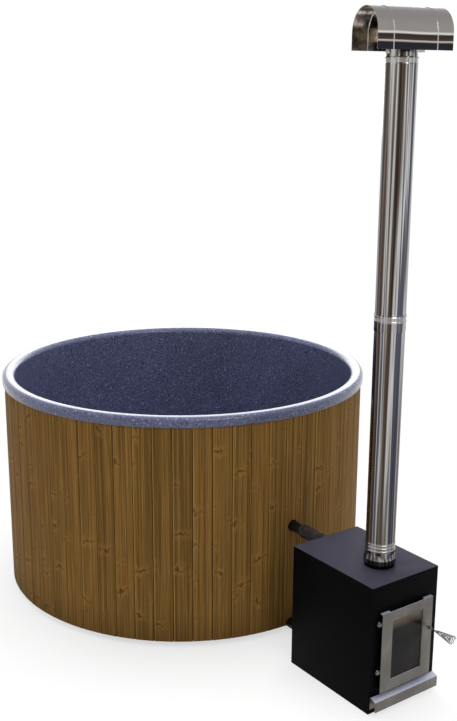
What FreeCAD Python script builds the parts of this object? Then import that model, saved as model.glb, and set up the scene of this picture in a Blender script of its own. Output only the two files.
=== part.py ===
import FreeCAD, Part
import math
import os
import re
import Sketcher
from types import SimpleNamespace

# Wood-burning hot tub with an outside stove, in millimetres.
# The tub stands on the origin, Z is up and the stove door faces -Y.
DIM = {
    # tub shell
    "rim_top": 1027.0, "rim_out": 8.5, "rim_lip": 43.0, "rim_roof": 15.0,
    "shell_wall": 7.0, "wall_top_in": -50.0, "wall_foot_in": -74.0,
    "bench_below": -64.0, "well_share": 0.612, "floor_height": 70.0,
    "rim_inner_round": 24.0, "rim_outer_round": 19.0, "bench_round": 30.0, "corner_round": 40.0,
    # cladding, hoops and bearers
    "clad_radius": 850.0, "board_count": 64, "board_thick": 20.0, "board_joint": 1.2,
    "board_chamfer": 4.5, "board_low": 25.0, "hole_reach": 60.0, "panel_count": 4,
    "hoop_thick": 3.0, "hoop_height": 40.0, "hoop_low": 130.0, "mid_below": -387.0,
    "high_below": -127.0, "hoop_fit": 0.2,
    "bearer_long": 860.0, "bearer_wide": 95.0, "bearer_share": 0.318,
    # water pipes
    "pipe_radius": 22.0, "pipe_bore": 17.0, "pipe_fit": 0.3, "pipe_below": -30.0, "lower_z": 32.0,
    "flange_radius": 36.0, "flange_thick": 5.0, "gasket_thick": 3.0, "nut_radius": 33.0,
    "nut_thick": 16.0, "hose_wall": 6.0, "hose_fit": 0.1, "hose_out": 65.0,
    "hose_gap": 4.0, "pipe_out": 135.0, "stub_long": 70.0, "stub_root": 10.0, "board_hole": 25.0,
    "clamp_wide": 12.0, "clamp_thick": 1.2, "clamp_inset": 14.0, "clamp_box": 14.0,
    "outlet_share": 0.47, "sump_radius": 30.0, "sump_bore": 20.0, "sump_base": 6.0,
    "sump_floor": 4.0, "guard_radius": 40.0, "guard_thick": 4.0, "guard_hole": 4.0,
    "guard_ring": 24.0, "guard_tail": 14.0, "guard_wall": 3.0, "guard_holes": 10,
    # drain
    "drain_radius": 20.0, "drain_bore": 17.0, "drain_out": 35.0, "seat_bore": 14.0,
    "plug_fit": 0.3, "plug_head": 20.0, "plug_head_thick": 5.0, "plug_depth": 18.0,
    "plug_neck": 4.0, "plug_neck_long": 10.0, "plug_knob": 9.0,
    # stove body
    "stove_gap": 216.0, "stove_half": 172.5, "stove_depth": 462.0, "stove_height": 524.0,
    "front_thick": 4.0, "casing_wall": 3.0, "fire_in": -40.5, "fire_low": 84.0,
    "fire_below": -40.0, "fire_wall": 4.0, "fire_back": 40.0, "bay_low": 18.0, "bay_wall": 3.0,
    "mouth_in": -34.0, "mouth_low": 112.0, "mouth_below": -27.0, "ash_in": -2.0,
    "ash_high": 66.0, "grate_in": -22.0, "grate_front": 31.0, "grate_thick": 14.0,
    "grate_ledge": 10.0, "grate_slots": 8, "grate_side": 14.0, "slot_share": 0.5,
    "grate_margin": 22.0, "grate_back": 60.0, "baffle_thick": 5.0, "baffle_below": -64.0,
    "baffle_side": 2.0, "baffle_front": 81.0, "rest_wide": 14.0, "rest_high": 10.0,
    # ash drawer
    "pan_side_fit": 3.5, "slide_fit": 0.3, "pan_high": 40.0, "pan_wall": 1.5, "pan_back": 29.0,
    "lip_in": -5.5, "lip_low": 20.0, "lip_high": 75.0, "lip_reach": 32.0, "lip_drop": 11.0,
    "lip_sheet": 2.0, "lip_bend": 4.0, "flap_low": 21.0,
    # door
    "door_gap": 17.0, "door_plate": 3.0, "door_left_in": -38.5, "door_right_in": -40.5,
    "door_low": 85.0, "door_below": -109.0, "door_tab": 43.0, "door_tab_deep": 13.0,
    "window_in": -52.0, "window_low": 130.0, "window_below": -40.0,
    "glass_lap": 6.0, "glass_thick": 4.0, "glass_bed": 2.0, "clip_wide": 18.0, "clip_span": 100.0,
    "clip_foot": 5.5, "clip_sheet": 2.0, "clip_fit": 0.5, "seal_band": 16.0, "seal_deep": 12.0,
    "rope_wide": 10.0, "rope_groove": 10.4, "rope_bed": 2.0, "seal_fit": 0.3,
    "hinge_aside": 9.0, "hinge_out": 10.0, "hinge_below": -44.0, "hinge_low": 171.0,
    "pin_radius": 4.0, "pin_fit": 0.05, "lug_nose": 6.5, "lug_high": 6.0, "lug_reach": 26.0,
    "lug_gap": 0.3, "pin_top": 8.0,
    # latch and coil handle
    "latch_in": -8.0, "latch_below": -134.0, "spindle_radius": 4.0, "spindle_fit": 0.05,
    "collar_radius": 6.5, "collar_long": 5.0, "collar_fit": 0.3, "tongue_thick": 4.0,
    "tongue_reach": 23.0, "tongue_half": 6.0, "tongue_gap": 3.0, "stem_radius": 3.0,
    "stem_long": 28.0, "stem_tail": 12.0, "coil_wire": 1.6, "coil_long": 84.0, "coil_end": 17.0,
    "coil_turns": 12, "coil_fit": 0.06, "keeper_gap": 0.6, "keeper_aside": 6.0,
    "keeper_wide": 14.0, "keeper_sheet": 3.0, "keeper_foot": 16.0, "keeper_high": 26.0,
    # flue
    "flue_back": 147.0, "flue_radius": 57.0, "flue_wall": 1.2, "spigot_over": 1.0,
    "spigot_wall": 3.0, "bell_over": 5.5, "bell_above": 14.0, "bell_straight": 20.0,
    "bell_cone": 20.0, "bead_high": 2.0, "bead_wide": 7.0, "bead_flat": 2.4, "bead_step": 13.0,
    "bell_bead": 55.0, "bell_beads": 3, "lower_long": 977.0, "socket_deep": -63.0,
    "socket_over": 1.4, "socket_fit": 0.2, "joint_bead": 40.0, "joint_step": 17.0,
    "joint_beads": 2, "socket_neck": 5.0, "upper_long": 895.0,
    "cap_tail": 60.0, "cap_rise": 60.0, "cap_wall": 1.2, "cap_fit": 0.3, "ring_over": 2.5,
    "cap_ring_high": 6.0, "hood_over": 28.0, "hood_sheet": 1.5, "hood_above": 26.0,
    "hood_legs": 59.0, "hood_long": 300.0, "hood_turn": -12.0, "rib_step": 174.0,
    "rib_wide": 6.0, "rib_high": 2.5, "strap_wide": 25.0, "strap_sheet": 2.0, "strap_low": 16.0,
    # cutters run past the faces they cut by this much
    "overrun": 5.0,
}

# Sizes that follow another one at a fixed distance, or as a share of it
TIED = {
    "rim_radius": ("clad_radius", "rim_out"), "wall_top_radius": ("clad_radius", "wall_top_in"),
    "wall_foot_radius": ("clad_radius", "wall_foot_in"), "hose_start": ("clad_radius", "hose_out"),
    "pipe_reach": ("clad_radius", "pipe_out"), "drain_reach": ("clad_radius", "drain_out"),
    "hoop_mid": ("rim_top", "mid_below"), "hoop_high": ("rim_top", "high_below"),
    "upper_z": ("stove_height", "pipe_below"), "bench_height": ("upper_z", "bench_below"),
    "fire_high": ("stove_height", "fire_below"), "baffle_z": ("fire_high", "baffle_below"),
    "fire_half": ("stove_half", "fire_in"), "mouth_half": ("fire_half", "mouth_in"),
    "ash_half": ("fire_half", "ash_in"), "grate_half": ("fire_half", "grate_in"),
    "lip_half": ("stove_half", "lip_in"), "door_left": ("stove_half", "door_left_in"),
    "door_right": ("stove_half", "door_right_in"), "door_high": ("stove_height", "door_below"),
    "mouth_high": ("door_high", "mouth_below"), "window_high": ("door_high", "window_below"),
    "window_half": ("door_right", "window_in"), "hinge_x": ("door_left", "hinge_aside"),
    "hinge_high": ("door_high", "hinge_below"), "latch_x": ("door_right", "latch_in"),
    "latch_z": ("door_high", "latch_below"), "keeper_x": ("door_right", "keeper_aside"),
    "spigot_radius": ("flue_radius", "spigot_over"), "bell_radius": ("flue_radius", "bell_over"),
    "socket_radius": ("flue_radius", "socket_over"), "cap_ring": ("flue_radius", "ring_over"),
    "hood_radius": ("flue_radius", "hood_over"), "bell_low": ("stove_height", "bell_above"),
    "lower_top": ("bell_low", "lower_long"), "socket_low": ("lower_top", "socket_deep"),
    "upper_top": ("lower_top", "upper_long"), "hood_low": ("upper_top", "hood_above"),
    "hood_axis": ("hood_low", "hood_legs"),
}
SHARED = {"well_radius": ("clad_radius", "well_share"), "outlet_y": ("clad_radius", "outlet_share"),
          "bearer_step": ("clad_radius", "bearer_share")}


def size(name):
    if name in TIED:
        base, distance = TIED[name]
        return size(base) + DIM[distance]
    if name in SHARED:
        base, share = SHARED[name]
        return size(base) * DIM[share]
    return DIM[name]


doc = FreeCAD.newDocument("hot_tub")
sheet = doc.addObject("Spreadsheet::Sheet", "Sizes")
for row, (name, value) in enumerate(DIM.items(), start=1):
    sheet.set(f"A{row}", name)
    sheet.set(f"B{row}", str(value))
    sheet.setAlias(f"B{row}", name)
doc.recompute()
d = SimpleNamespace(**{name: size(name) for name in (*DIM, *TIED, *SHARED)})
V = FreeCAD.Vector
nodes = []


def as_cell(match):
    name = match.group()
    if name in TIED:
        return "(" + bound(" + ".join(TIED[name])) + ")"
    if name in SHARED:
        return "(" + bound(" * ".join(SHARED[name])) + ")"
    return f"Sizes.{name}" if name in DIM else name


def bound(text):
    """Names in an expression become cells of the sheet."""
    return re.sub(r"[a-z_]+", as_cell, text)


def bind(obj, **cells):
    for prop, text in cells.items():
        obj.setExpression(prop.replace("__", "."), bound(text))


TURNS = {"z": FreeCAD.Rotation(), "x": FreeCAD.Rotation(V(0, 1, 0), 90),
         "y": FreeCAD.Rotation(V(1, 0, 0), -90), "-y": FreeCAD.Rotation(V(1, 0, 0), 90)}


def seat(obj, at, axis="z"):
    obj.Placement = FreeCAD.Placement(V(0, 0, 0), TURNS[axis])
    bind(obj, Placement__Base__x=at[0], Placement__Base__y=at[1], Placement__Base__z=at[2])
    return obj


def box(name, size, at):
    obj = doc.addObject("Part::Box", name)
    bind(obj, Length=size[0], Width=size[1], Height=size[2])
    return seat(obj, at)


def rod(name, radius, length, at, axis="z"):
    obj = doc.addObject("Part::Cylinder", name)
    bind(obj, Radius=radius, Height=length)
    return seat(obj, at, axis)


def join(name, *parts):
    obj = doc.addObject("Part::MultiFuse", name)
    obj.Shapes = list(parts)
    return obj


def cut(name, base, *tools):
    obj = doc.addObject("Part::Cut", name)
    obj.Base = base
    obj.Tool = tools[0] if len(tools) == 1 else join(name + "_tools", *tools)
    return obj


def common(name, base, tool):
    obj = doc.addObject("Part::MultiCommon", name)
    obj.Shapes = [base, tool]
    return obj


def tube(name, outer, inner, length, at, axis="z"):
    return cut(name, rod(name + "_outer", outer, length, at, axis),
               rod(name + "_inner", inner, length, at, axis))


def group(name, *parts):
    obj = doc.addObject("Part::Compound", name)
    obj.Links = list(parts)
    return obj


def held(name, shape):
    obj = doc.addObject("Part::Feature", name)
    obj.Shape = shape
    return obj


def node(obj, name=None):
    obj.Label = name or obj.Label
    nodes.append(obj)
    return obj


def profile(body, plane, points):
    """Closed outline of straight lines, every corner driven by two cells or lying on an axis."""
    sketch = body.newObject("Sketcher::SketchObject", body.Name + "_sketch")
    sketch.AttachmentSupport = [(next(f for f in body.Origin.OriginFeatures
                                      if f.Role == plane), "")]
    sketch.MapMode = "FlatFace"
    count = len(points)
    spot = [V(count * (1 + math.cos(i)), count * (1 + math.sin(i)), 0) for i in range(count)]
    for i in range(count):
        sketch.addGeometry(Part.LineSegment(spot[i], spot[(i + 1) % count]), False)
    for i in range(count):
        sketch.addConstraint(Sketcher.Constraint("Coincident", i, 2, (i + 1) % count, 1))
    for i, corner in enumerate(points):
        for kind, axis_line, text in (("DistanceX", -2, corner[0]), ("DistanceY", -1, corner[1])):
            if text == "0":
                sketch.addConstraint(Sketcher.Constraint("PointOnObject", i, 1, axis_line))
            else:
                k = sketch.addConstraint(Sketcher.Constraint(kind, -1, 1, i, 1, count))
                sketch.setExpression(f"Constraints[{k}]", bound(text))
    return sketch


def turned(name, points):
    """Ring or vessel turned round its own upright axis."""
    body = doc.addObject("PartDesign::Body", name)
    sketch = profile(body, "XZ_Plane", points)
    turn = body.newObject("PartDesign::Revolution", name + "_turn")
    turn.Profile = sketch
    turn.ReferenceAxis = (sketch, ["V_Axis"])
    turn.Angle = 360
    return body


def padded(name, plane, points, length):
    body = doc.addObject("PartDesign::Body", name)
    sketch = profile(body, plane, points)
    pad = body.newObject("PartDesign::Pad", name + "_pad")
    pad.Profile = sketch
    bind(pad, Length=length)
    return body


def rounded(body, wanted, radius):
    """Fillet on the edges of the body's tip that the test picks."""
    doc.recompute()
    tip = body.Tip
    edges = [f"Edge{i}" for i, e in enumerate(tip.Shape.Edges, start=1) if wanted(e)]
    if not edges:
        raise RuntimeError("no edge to round on " + body.Name)
    fillet = body.newObject("PartDesign::Fillet", f"{body.Name}_round{len(body.Group)}")
    fillet.Base = (tip, edges)
    bind(fillet, Radius=radius)
    return body


def hoop_edge(radius, height):
    """Test for the full circle at a radius and a height."""
    def test(edge):
        curve = edge.Curve
        return (isinstance(curve, Part.Circle) and abs(curve.Radius - radius) < d.hoop_fit
                and abs(curve.Center.z - height) < d.hoop_fit)
    return test


def fold_edge(y, z):
    """Test for the straight edge along X through a point."""
    def test(edge):
        return all(abs(v.Y - y) < d.hoop_fit and abs(v.Z - z) < d.hoop_fit for v in edge.Vertexes)
    return test


# Tub shell: floor, foot well, bench, tapered wall and rolled rim, turned in one outline
shell = turned("shell_turned", [
    ("0", "floor_height"), ("well_radius", "floor_height"), ("well_radius", "bench_height"),
    ("wall_foot_radius", "bench_height"), ("wall_top_radius", "rim_top"),
    ("rim_radius", "rim_top"), ("rim_radius", "rim_top - rim_lip"),
    ("rim_radius - shell_wall", "rim_top - rim_lip"),
    ("rim_radius - shell_wall", "rim_top - rim_roof"),
    ("wall_top_radius + shell_wall", "rim_top - rim_roof"),
    ("wall_foot_radius + shell_wall", "bench_height - shell_wall"),
    ("well_radius + shell_wall", "bench_height - shell_wall"),
    ("well_radius + shell_wall", "floor_height - shell_wall"), ("0", "floor_height - shell_wall")])
rounded(shell, hoop_edge(d.wall_top_radius, d.rim_top), "rim_inner_round")
rounded(shell, hoop_edge(d.rim_radius, d.rim_top), "rim_outer_round")
rounded(shell, hoop_edge(d.well_radius, d.bench_height), "bench_round")
rounded(shell, hoop_edge(d.well_radius, d.floor_height), "corner_round")
rounded(shell, hoop_edge(d.wall_foot_radius, d.bench_height), "corner_round")

# Height share of the upper pipe on the tapered wall gives the wall's radius there
wall_at_pipe = ("(wall_foot_radius + (wall_top_radius - wall_foot_radius)"
                " * (upper_z - bench_height) / (rim_top - bench_height))")
drain_y = "(clad_radius * sin(2 * 360 / board_count))"
floor_under = "(floor_height - shell_wall)"
tub_shell = cut(
    "tub_shell", shell,
    rod("shell_upper_hole", "pipe_radius + pipe_fit", "rim_radius - well_radius",
        ("0", "-rim_radius", "upper_z"), "y"),
    rod("shell_outlet_hole", "sump_bore", "floor_height", ("0", "-outlet_y", "0")),
    rod("shell_drain_hole", "sump_bore", "floor_height", ("0", drain_y, "0")))

# The shell is kept as well, bench and wall, parted above the bench's outer round and below its nosing
bench_low = "(bench_height - bench_round - shell_wall)"
bench_top = "(bench_height + corner_round)"
for name, low, high in (("tub_well", "0", bench_low), ("tub_bench", bench_low, bench_top),
                        ("tub_wall", bench_top, "(rim_top + overrun)")):
    layer = rod(name + "_layer", "rim_radius + overrun", f"{high} - {low}", ("0", "0", low))
    node(common(name, tub_shell, layer))

# Cladding: one chamfered board, then copies round the tub in panels, with holes for the pipes
board_face = "(clad_radius * cos(180 / board_count))"
board_half = "(clad_radius * sin(180 / board_count) - board_joint / 2)"
back_half = f"({board_half} - board_thick * tan(180 / board_count))"
board = padded("board", "XY_Plane", [
    (f"{board_face} - board_thick", f"{board_half} - {back_half}"),
    (f"{board_face} - board_chamfer", "board_chamfer * tan(180 / board_count)"),
    (board_face, "board_chamfer"),
    (board_face, f"2 * {board_half} - board_chamfer"),
    (f"{board_face} - board_chamfer", f"2 * {board_half} - board_chamfer * tan(180 / board_count)"),
    (f"{board_face} - board_thick", f"{board_half} + {back_half}")],
    "rim_top - rim_roof - board_low")
seat(board, ("0", f"-{board_half}", "board_low"))
clad_cutters = [
    rod("board_upper_hole", "board_hole", "hole_reach",
        ("0", "-clad_radius - board_thick", "upper_z"), "y"),
    rod("board_lower_hole", "board_hole", "hole_reach",
        ("0", "-clad_radius - board_thick", "lower_z"), "y"),
    rod("board_drain_hole", "board_hole", "2 * hole_reach",
        ("clad_radius - hole_reach", drain_y, "lower_z"), "x")]
doc.recompute()
pitch = 360 / d.board_count
in_panel = d.board_count // d.panel_count
for p, side in enumerate(("front", "right", "back", "left")):
    boards = []
    for k in range(in_panel):
        shape = board.Shape.copy()
        turn_deg = p * 360 / d.panel_count - 90 + (k - in_panel / 2) * pitch
        shape.rotate(V(0, 0, 0), V(0, 0, 1), turn_deg)
        for cutter in clad_cutters:
            if shape.common(cutter.Shape).Volume > 0:
                shape = shape.cut(cutter.Shape)
        boards += shape.Solids
    node(held(f"cladding_{side}", Part.makeCompound(boards)))

# Hoops inside the boards and bearers under the floor
for level, cell in (("lower", "hoop_low"), ("middle", "hoop_mid"), ("upper", "hoop_high")):
    hoop_out = f"{board_face} - board_thick - hoop_fit"
    node(tube(f"hoop_{level}", hoop_out, f"{hoop_out} - hoop_thick", "hoop_height",
              ("0", "0", cell)))
for place, shift in (("front", "-bearer_step"), ("middle", "0"), ("back", "bearer_step")):
    node(box(f"bearer_{place}", ("bearer_long", "bearer_wide", floor_under),
             ("-bearer_long / 2", f"{shift} - bearer_wide / 2", "0")))

# Upper water pipe through the wall, clamped between its flange and a lock nut
inner_face = f"(flange_thick + gasket_thick - {wall_at_pipe})"
nipple = join("nipple_solid",
              rod("nipple_pipe", "pipe_radius", f"pipe_reach + {inner_face}",
                  ("0", inner_face, "upper_z"), "-y"),
              rod("nipple_flange", "flange_radius", "flange_thick",
                  ("0", inner_face, "upper_z"), "-y"))
node(cut("upper_pipe", nipple, rod("nipple_bore", "pipe_bore", "pipe_reach",
                                   ("0", inner_face, "upper_z"), "-y")))
gasket = node(cut("upper_gasket",
                  tube("gasket_ring", "flange_radius", "pipe_radius", "gasket_thick + shell_wall / 2",
                       ("0", f"{inner_face} - flange_thick - pipe_fit", "upper_z"), "-y"), tub_shell))
bind(gasket, Placement__Base__y="pipe_fit")
node(cut("upper_nut",
         tube("nut_ring", "nut_radius", "pipe_radius", "nut_thick",
              ("0", f"-{wall_at_pipe} - shell_wall / 2", "upper_z"), "-y"), tub_shell))


def guard(name, at, axis):
    """Strainer disc with a ring of holes."""
    disc = rod(name + "_disc", "guard_radius", "guard_thick", at, axis)
    holes = []
    for k in range(d.guard_holes):
        across = f"guard_ring * cos({k} * 360 / guard_holes)"
        along = f"guard_ring * sin({k} * 360 / guard_holes)"
        spot = ((f"{at[0]} + {across}", f"{at[1]} + {along}", at[2]) if axis == "z"
                else (f"{at[0]} + {across}", at[1], f"{at[2]} + {along}"))
        holes.append(rod(f"{name}_hole{k}", "guard_hole", "guard_thick", spot, axis))
    return cut(name + "_plate", disc, *holes)


node(join("upper_strainer", guard("upper_guard", ("0", inner_face, "upper_z"), "y"),
          tube("upper_guard_tail", "pipe_bore - hose_fit", "pipe_bore - guard_wall", "guard_tail",
               ("0", inner_face, "upper_z"), "-y")))

# Lower outlet: a sump under the foot well with a pipe towards the stove, and its strainer
sump_high = f"({floor_under} - gasket_thick - sump_base)"
sump_bore_at = "sump_base + sump_floor"


def sump(name, y):
    return (rod(name + "_pot", "sump_radius", sump_high, ("0", y, "sump_base")),
            rod(name + "_well", "sump_bore", floor_under, ("0", y, sump_bore_at)))


pot, well = sump("outlet", "-outlet_y")
node(cut("lower_outlet",
         join("outlet_solid", pot, rod("outlet_pipe", "pipe_radius", "pipe_reach - outlet_y",
                                       ("0", "-outlet_y", "lower_z"), "-y")),
         well, rod("outlet_bore", "pipe_bore", "pipe_reach - outlet_y + overrun",
                   ("0", "-outlet_y", "lower_z"), "-y")))
node(tube("lower_gasket", "sump_radius", "sump_bore", "gasket_thick",
          ("0", "-outlet_y", f"{floor_under} - gasket_thick")))
node(join("lower_strainer", guard("lower_guard", ("0", "-outlet_y", "floor_height"), "z"),
          tube("lower_guard_tail", "sump_bore - hose_fit", "sump_bore - guard_wall", "guard_tail",
               ("0", "-outlet_y", "floor_height - guard_tail"))))

# Drain: a sump with a pipe out through the boards, a seat in the floor and a lift-out plug
pot, well = sump("drain", drain_y)
node(cut("drain_sump", pot, well, rod("drain_socket", "drain_radius", "sump_radius + overrun",
                                      ("0", drain_y, "lower_z"), "x")))
drain_start = "((sump_radius + sump_bore) / 2)"
node(tube("drain_pipe", "drain_radius", "drain_bore", f"drain_reach - {drain_start}",
          (drain_start, drain_y, "lower_z"), "x"))
node(tube("drain_gasket", "sump_radius", "sump_bore", "gasket_thick",
          ("0", drain_y, f"{floor_under} - gasket_thick")))
node(cut("drain_seat",
         join("seat_solid", rod("seat_disc", "sump_radius", "guard_thick",
                                ("0", drain_y, "floor_height")),
              rod("seat_tail", "sump_bore - hose_fit", "guard_tail",
                  ("0", drain_y, "floor_height - guard_tail"))),
         rod("seat_hole", "seat_bore", "floor_height",
             ("0", drain_y, "floor_height - guard_tail"))))
plug_seat = "(floor_height + guard_thick + plug_fit)"
node(join("drain_plug",
          rod("plug_body", "seat_bore - plug_fit", "plug_depth",
              ("0", drain_y, f"{plug_seat} - plug_depth")),
          rod("plug_disc", "plug_head", "plug_head_thick", ("0", drain_y, plug_seat)),
          rod("plug_stem", "plug_neck", "plug_head_thick + plug_neck_long",
              ("0", drain_y, plug_seat)),
          rod("plug_top", "plug_knob", "plug_head_thick",
              ("0", drain_y, f"{plug_seat} + plug_head_thick + plug_neck_long"))))

# Stove: casing, front plate, firebox, ash bay, grate and baffle
back_y = "(-clad_radius - stove_gap)"
front_y = f"({back_y} - stove_depth)"
inside_y = f"({front_y} + front_thick)"
flue_y = f"({front_y} + flue_back)"
stub_run = "stub_long + stub_root"
stub_holes = [rod(f"casing_{n}_hole", "pipe_radius", "stub_root + overrun",
                  ("0", f"{back_y} + overrun", z), "-y")
              for n, z in (("upper", "upper_z"), ("lower", "lower_z"))]
node(cut("stove_casing",
         box("casing_box", ("2 * stove_half", "stove_depth - front_thick", "stove_height"),
             ("-stove_half", inside_y, "0")),
         box("casing_room", ("2 * (stove_half - casing_wall)",
                             "stove_depth - front_thick - casing_wall + overrun",
                             "stove_height - 2 * casing_wall"),
             ("casing_wall - stove_half", f"{inside_y} - overrun", "casing_wall")),
         rod("casing_flue_hole", "spigot_radius", "casing_wall + 2 * overrun",
             ("0", flue_y, "stove_height - casing_wall - overrun")), *stub_holes))
node(cut("stove_front",
         box("front_sheet", ("2 * stove_half", "front_thick", "stove_height"),
             ("-stove_half", front_y, "0")),
         box("front_mouth", ("2 * mouth_half", "front_thick + 2 * overrun", "mouth_high - mouth_low"),
             ("-mouth_half", f"{front_y} - overrun", "mouth_low")),
         box("front_slot", ("2 * ash_half", "front_thick + 2 * overrun",
                            "ash_high - bay_low - bay_wall"),
             ("-ash_half", f"{front_y} - overrun", "bay_low + bay_wall"))))
fire_deep = "(stove_depth - front_thick - casing_wall - fire_back)"
grate_y = f"({inside_y} + grate_front)"
grate_long = f"({fire_deep} - fire_wall - grate_back - grate_front)"
node(cut("firebox",
         box("fire_box", ("2 * fire_half", fire_deep, "fire_high - fire_low"),
             ("-fire_half", inside_y, "fire_low")),
         box("fire_room", ("2 * (fire_half - fire_wall)", f"{fire_deep} - fire_wall + overrun",
                           "fire_high - fire_low - 2 * fire_wall"),
             ("fire_wall - fire_half", f"{inside_y} - overrun", "fire_low + fire_wall")),
         box("fire_grate_hole", ("2 * (grate_half - grate_ledge)", f"{grate_long} - 2 * grate_ledge",
                                 "fire_wall + 2 * overrun"),
             ("grate_ledge - grate_half", f"{grate_y} + grate_ledge", "fire_low - overrun")),
         rod("fire_flue_hole", "spigot_radius - spigot_wall", "fire_wall + 2 * overrun",
             ("0", flue_y, "fire_high - fire_wall - overrun"))))
node(cut("ash_bay",
         box("bay_box", ("2 * fire_half", fire_deep, "fire_low - bay_low"),
             ("-fire_half", inside_y, "bay_low")),
         box("bay_room", ("2 * (fire_half - bay_wall)", f"{fire_deep} - bay_wall + overrun",
                          "fire_low - bay_low"),
             ("bay_wall - fire_half", f"{inside_y} - overrun", "bay_low + bay_wall"))))
bar_half = "(grate_half - grate_side)"
slots = [box(f"grate_slot{k}", (f"2 * {bar_half} / grate_slots * slot_share",
                                f"{grate_long} - 2 * grate_margin", "grate_thick + 2 * overrun"),
             (f"{bar_half} * ((2 * {k} + 1 - slot_share) / grate_slots - 1)",
              f"{grate_y} + grate_margin", "fire_low + fire_wall - overrun"))
         for k in range(d.grate_slots)]
node(cut("grate", box("grate_plate", ("2 * grate_half", grate_long, "grate_thick"),
                      ("-grate_half", grate_y, "fire_low + fire_wall")), *slots))
inner_half = "(fire_half - fire_wall)"
baffle_y = f"({inside_y} + baffle_front)"
baffle_long = f"({fire_deep} - fire_wall - baffle_front)"
node(box("baffle", (f"2 * ({inner_half} - baffle_side)", baffle_long, "baffle_thick"),
         (f"baffle_side - {inner_half}", baffle_y, "baffle_z")))
node(group("baffle_rests", *[
    box(f"rest_{s}", ("rest_wide", baffle_long, "rest_high"),
        (x, baffle_y, "baffle_z - rest_high"))
    for s, x in (("left", f"-{inner_half}"), ("right", f"{inner_half} - rest_wide"))]))

# Water stubs, hose sleeves and their clamps
for n, z in (("upper", "upper_z"), ("lower", "lower_z")):
    node(tube(f"{n}_stub", "pipe_radius", "pipe_bore", stub_run,
              ("0", f"{back_y} - stub_root", z), "y"))
    hose_run = f"(-hose_start - {back_y} - hose_gap)"
    node(tube(f"{n}_hose", "pipe_radius + hose_wall", "pipe_radius + hose_fit", hose_run,
              ("0", "-hose_start", z), "-y"))
    clamps = []
    for end, y in (("tub", "-hose_start - clamp_inset"),
                   ("stove", f"{back_y} + hose_gap + clamp_inset + clamp_wide")):
        band = tube(f"{n}_{end}_band", "pipe_radius + hose_wall + clamp_thick",
                    "pipe_radius + hose_wall", "clamp_wide", ("0", y, z), "-y")
        worm = box(f"{n}_{end}_worm", ("clamp_box", "clamp_wide", "clamp_box / 2"),
                   ("pipe_radius + hose_wall", f"{y} - clamp_wide", f"{z} - clamp_box / 4"))
        clamps.append(join(f"{n}_{end}_clamp", band, worm))
    node(group(f"{n}_clamps", *clamps))

# Ash drawer: an open pan behind a hooked lip that is bent from one sheet
pan_half = "(ash_half - pan_side_fit)"
pan_y = f"({front_y} - slide_fit)"
pan_z = "(bay_low + bay_wall + slide_fit)"
pan_long = f"({fire_deep} + front_thick - pan_back)"
node(cut("ash_pan",
         box("pan_box", (f"2 * {pan_half}", pan_long, "pan_high"),
             (f"-{pan_half}", pan_y, pan_z)),
         box("pan_room", (f"2 * ({pan_half} - pan_wall)", f"{pan_long} - 2 * pan_wall", "pan_high"),
             (f"pan_wall - {pan_half}", f"{pan_y} + pan_wall", f"{pan_z} + pan_wall"))))
lip = padded("ash_lip", "YZ_Plane", [
    ("lip_reach", "lip_low"), ("lip_reach", "lip_high"),
    ("0", "lip_high - lip_drop"), ("0", "flap_low"), ("lip_sheet", "flap_low"),
    ("lip_sheet", "lip_high - lip_drop - lip_sheet"),
    ("lip_reach - lip_sheet", "lip_high - lip_sheet"), ("lip_reach - lip_sheet", "lip_low")],
    "2 * lip_half")
lip_front = d.lip_high - d.lip_drop
for y, z, radius in ((0, lip_front, "lip_bend + lip_sheet"),
                     (d.lip_sheet, lip_front - d.lip_sheet, "lip_bend"),
                     (d.lip_reach, d.lip_high, "lip_bend + lip_sheet"),
                     (d.lip_reach - d.lip_sheet, d.lip_high - d.lip_sheet, "lip_bend")):
    rounded(lip, fold_edge(y, z), radius)
node(seat(lip, ("-lip_half", f"{pan_y} - lip_reach", "0")))

# Door: plate with corner tabs and a window, glass in its bed, and a rope seal in a channel
door_back = f"({front_y} - door_gap)"
door_face = f"({door_back} - door_plate)"
hinge_y = f"({front_y} - hinge_out)"
tabs = [box(f"door_tab_{s}", ("door_tab", "door_tab_deep", "door_plate"),
            (x, door_back, "door_high - door_plate"))
        for s, x in (("left", "-door_left"), ("right", "door_right - door_tab"))]
node(cut("door_frame",
         join("door_sheet", box("door_blank", ("door_left + door_right", "door_plate",
                                               "door_high - door_low"),
                                ("-door_left", door_face, "door_low")), *tabs),
         box("door_window", ("2 * window_half", "door_plate + 2 * overrun",
                             "window_high - window_low"),
             ("-window_half", f"{door_face} - overrun", "window_low")),
         rod("door_spindle_hole", "spindle_radius + spindle_fit", "door_plate + 2 * overrun",
             ("latch_x", f"{door_face} - overrun", "latch_z"), "y")))


def picture_frame(name, half, low, high, band, y, deep):
    """Flat ring round a rectangular opening."""
    return cut(name, box(name + "_outer", (f"2 * ({half} + {band})", deep,
                                           f"{high} - {low} + 2 * ({band})"),
                         (f"-({half} + {band})", y, f"{low} - ({band})")),
               box(name + "_inner", (f"2 * ({half})", deep, f"{high} - {low}"),
                   (f"-({half})", y, low)))


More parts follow.
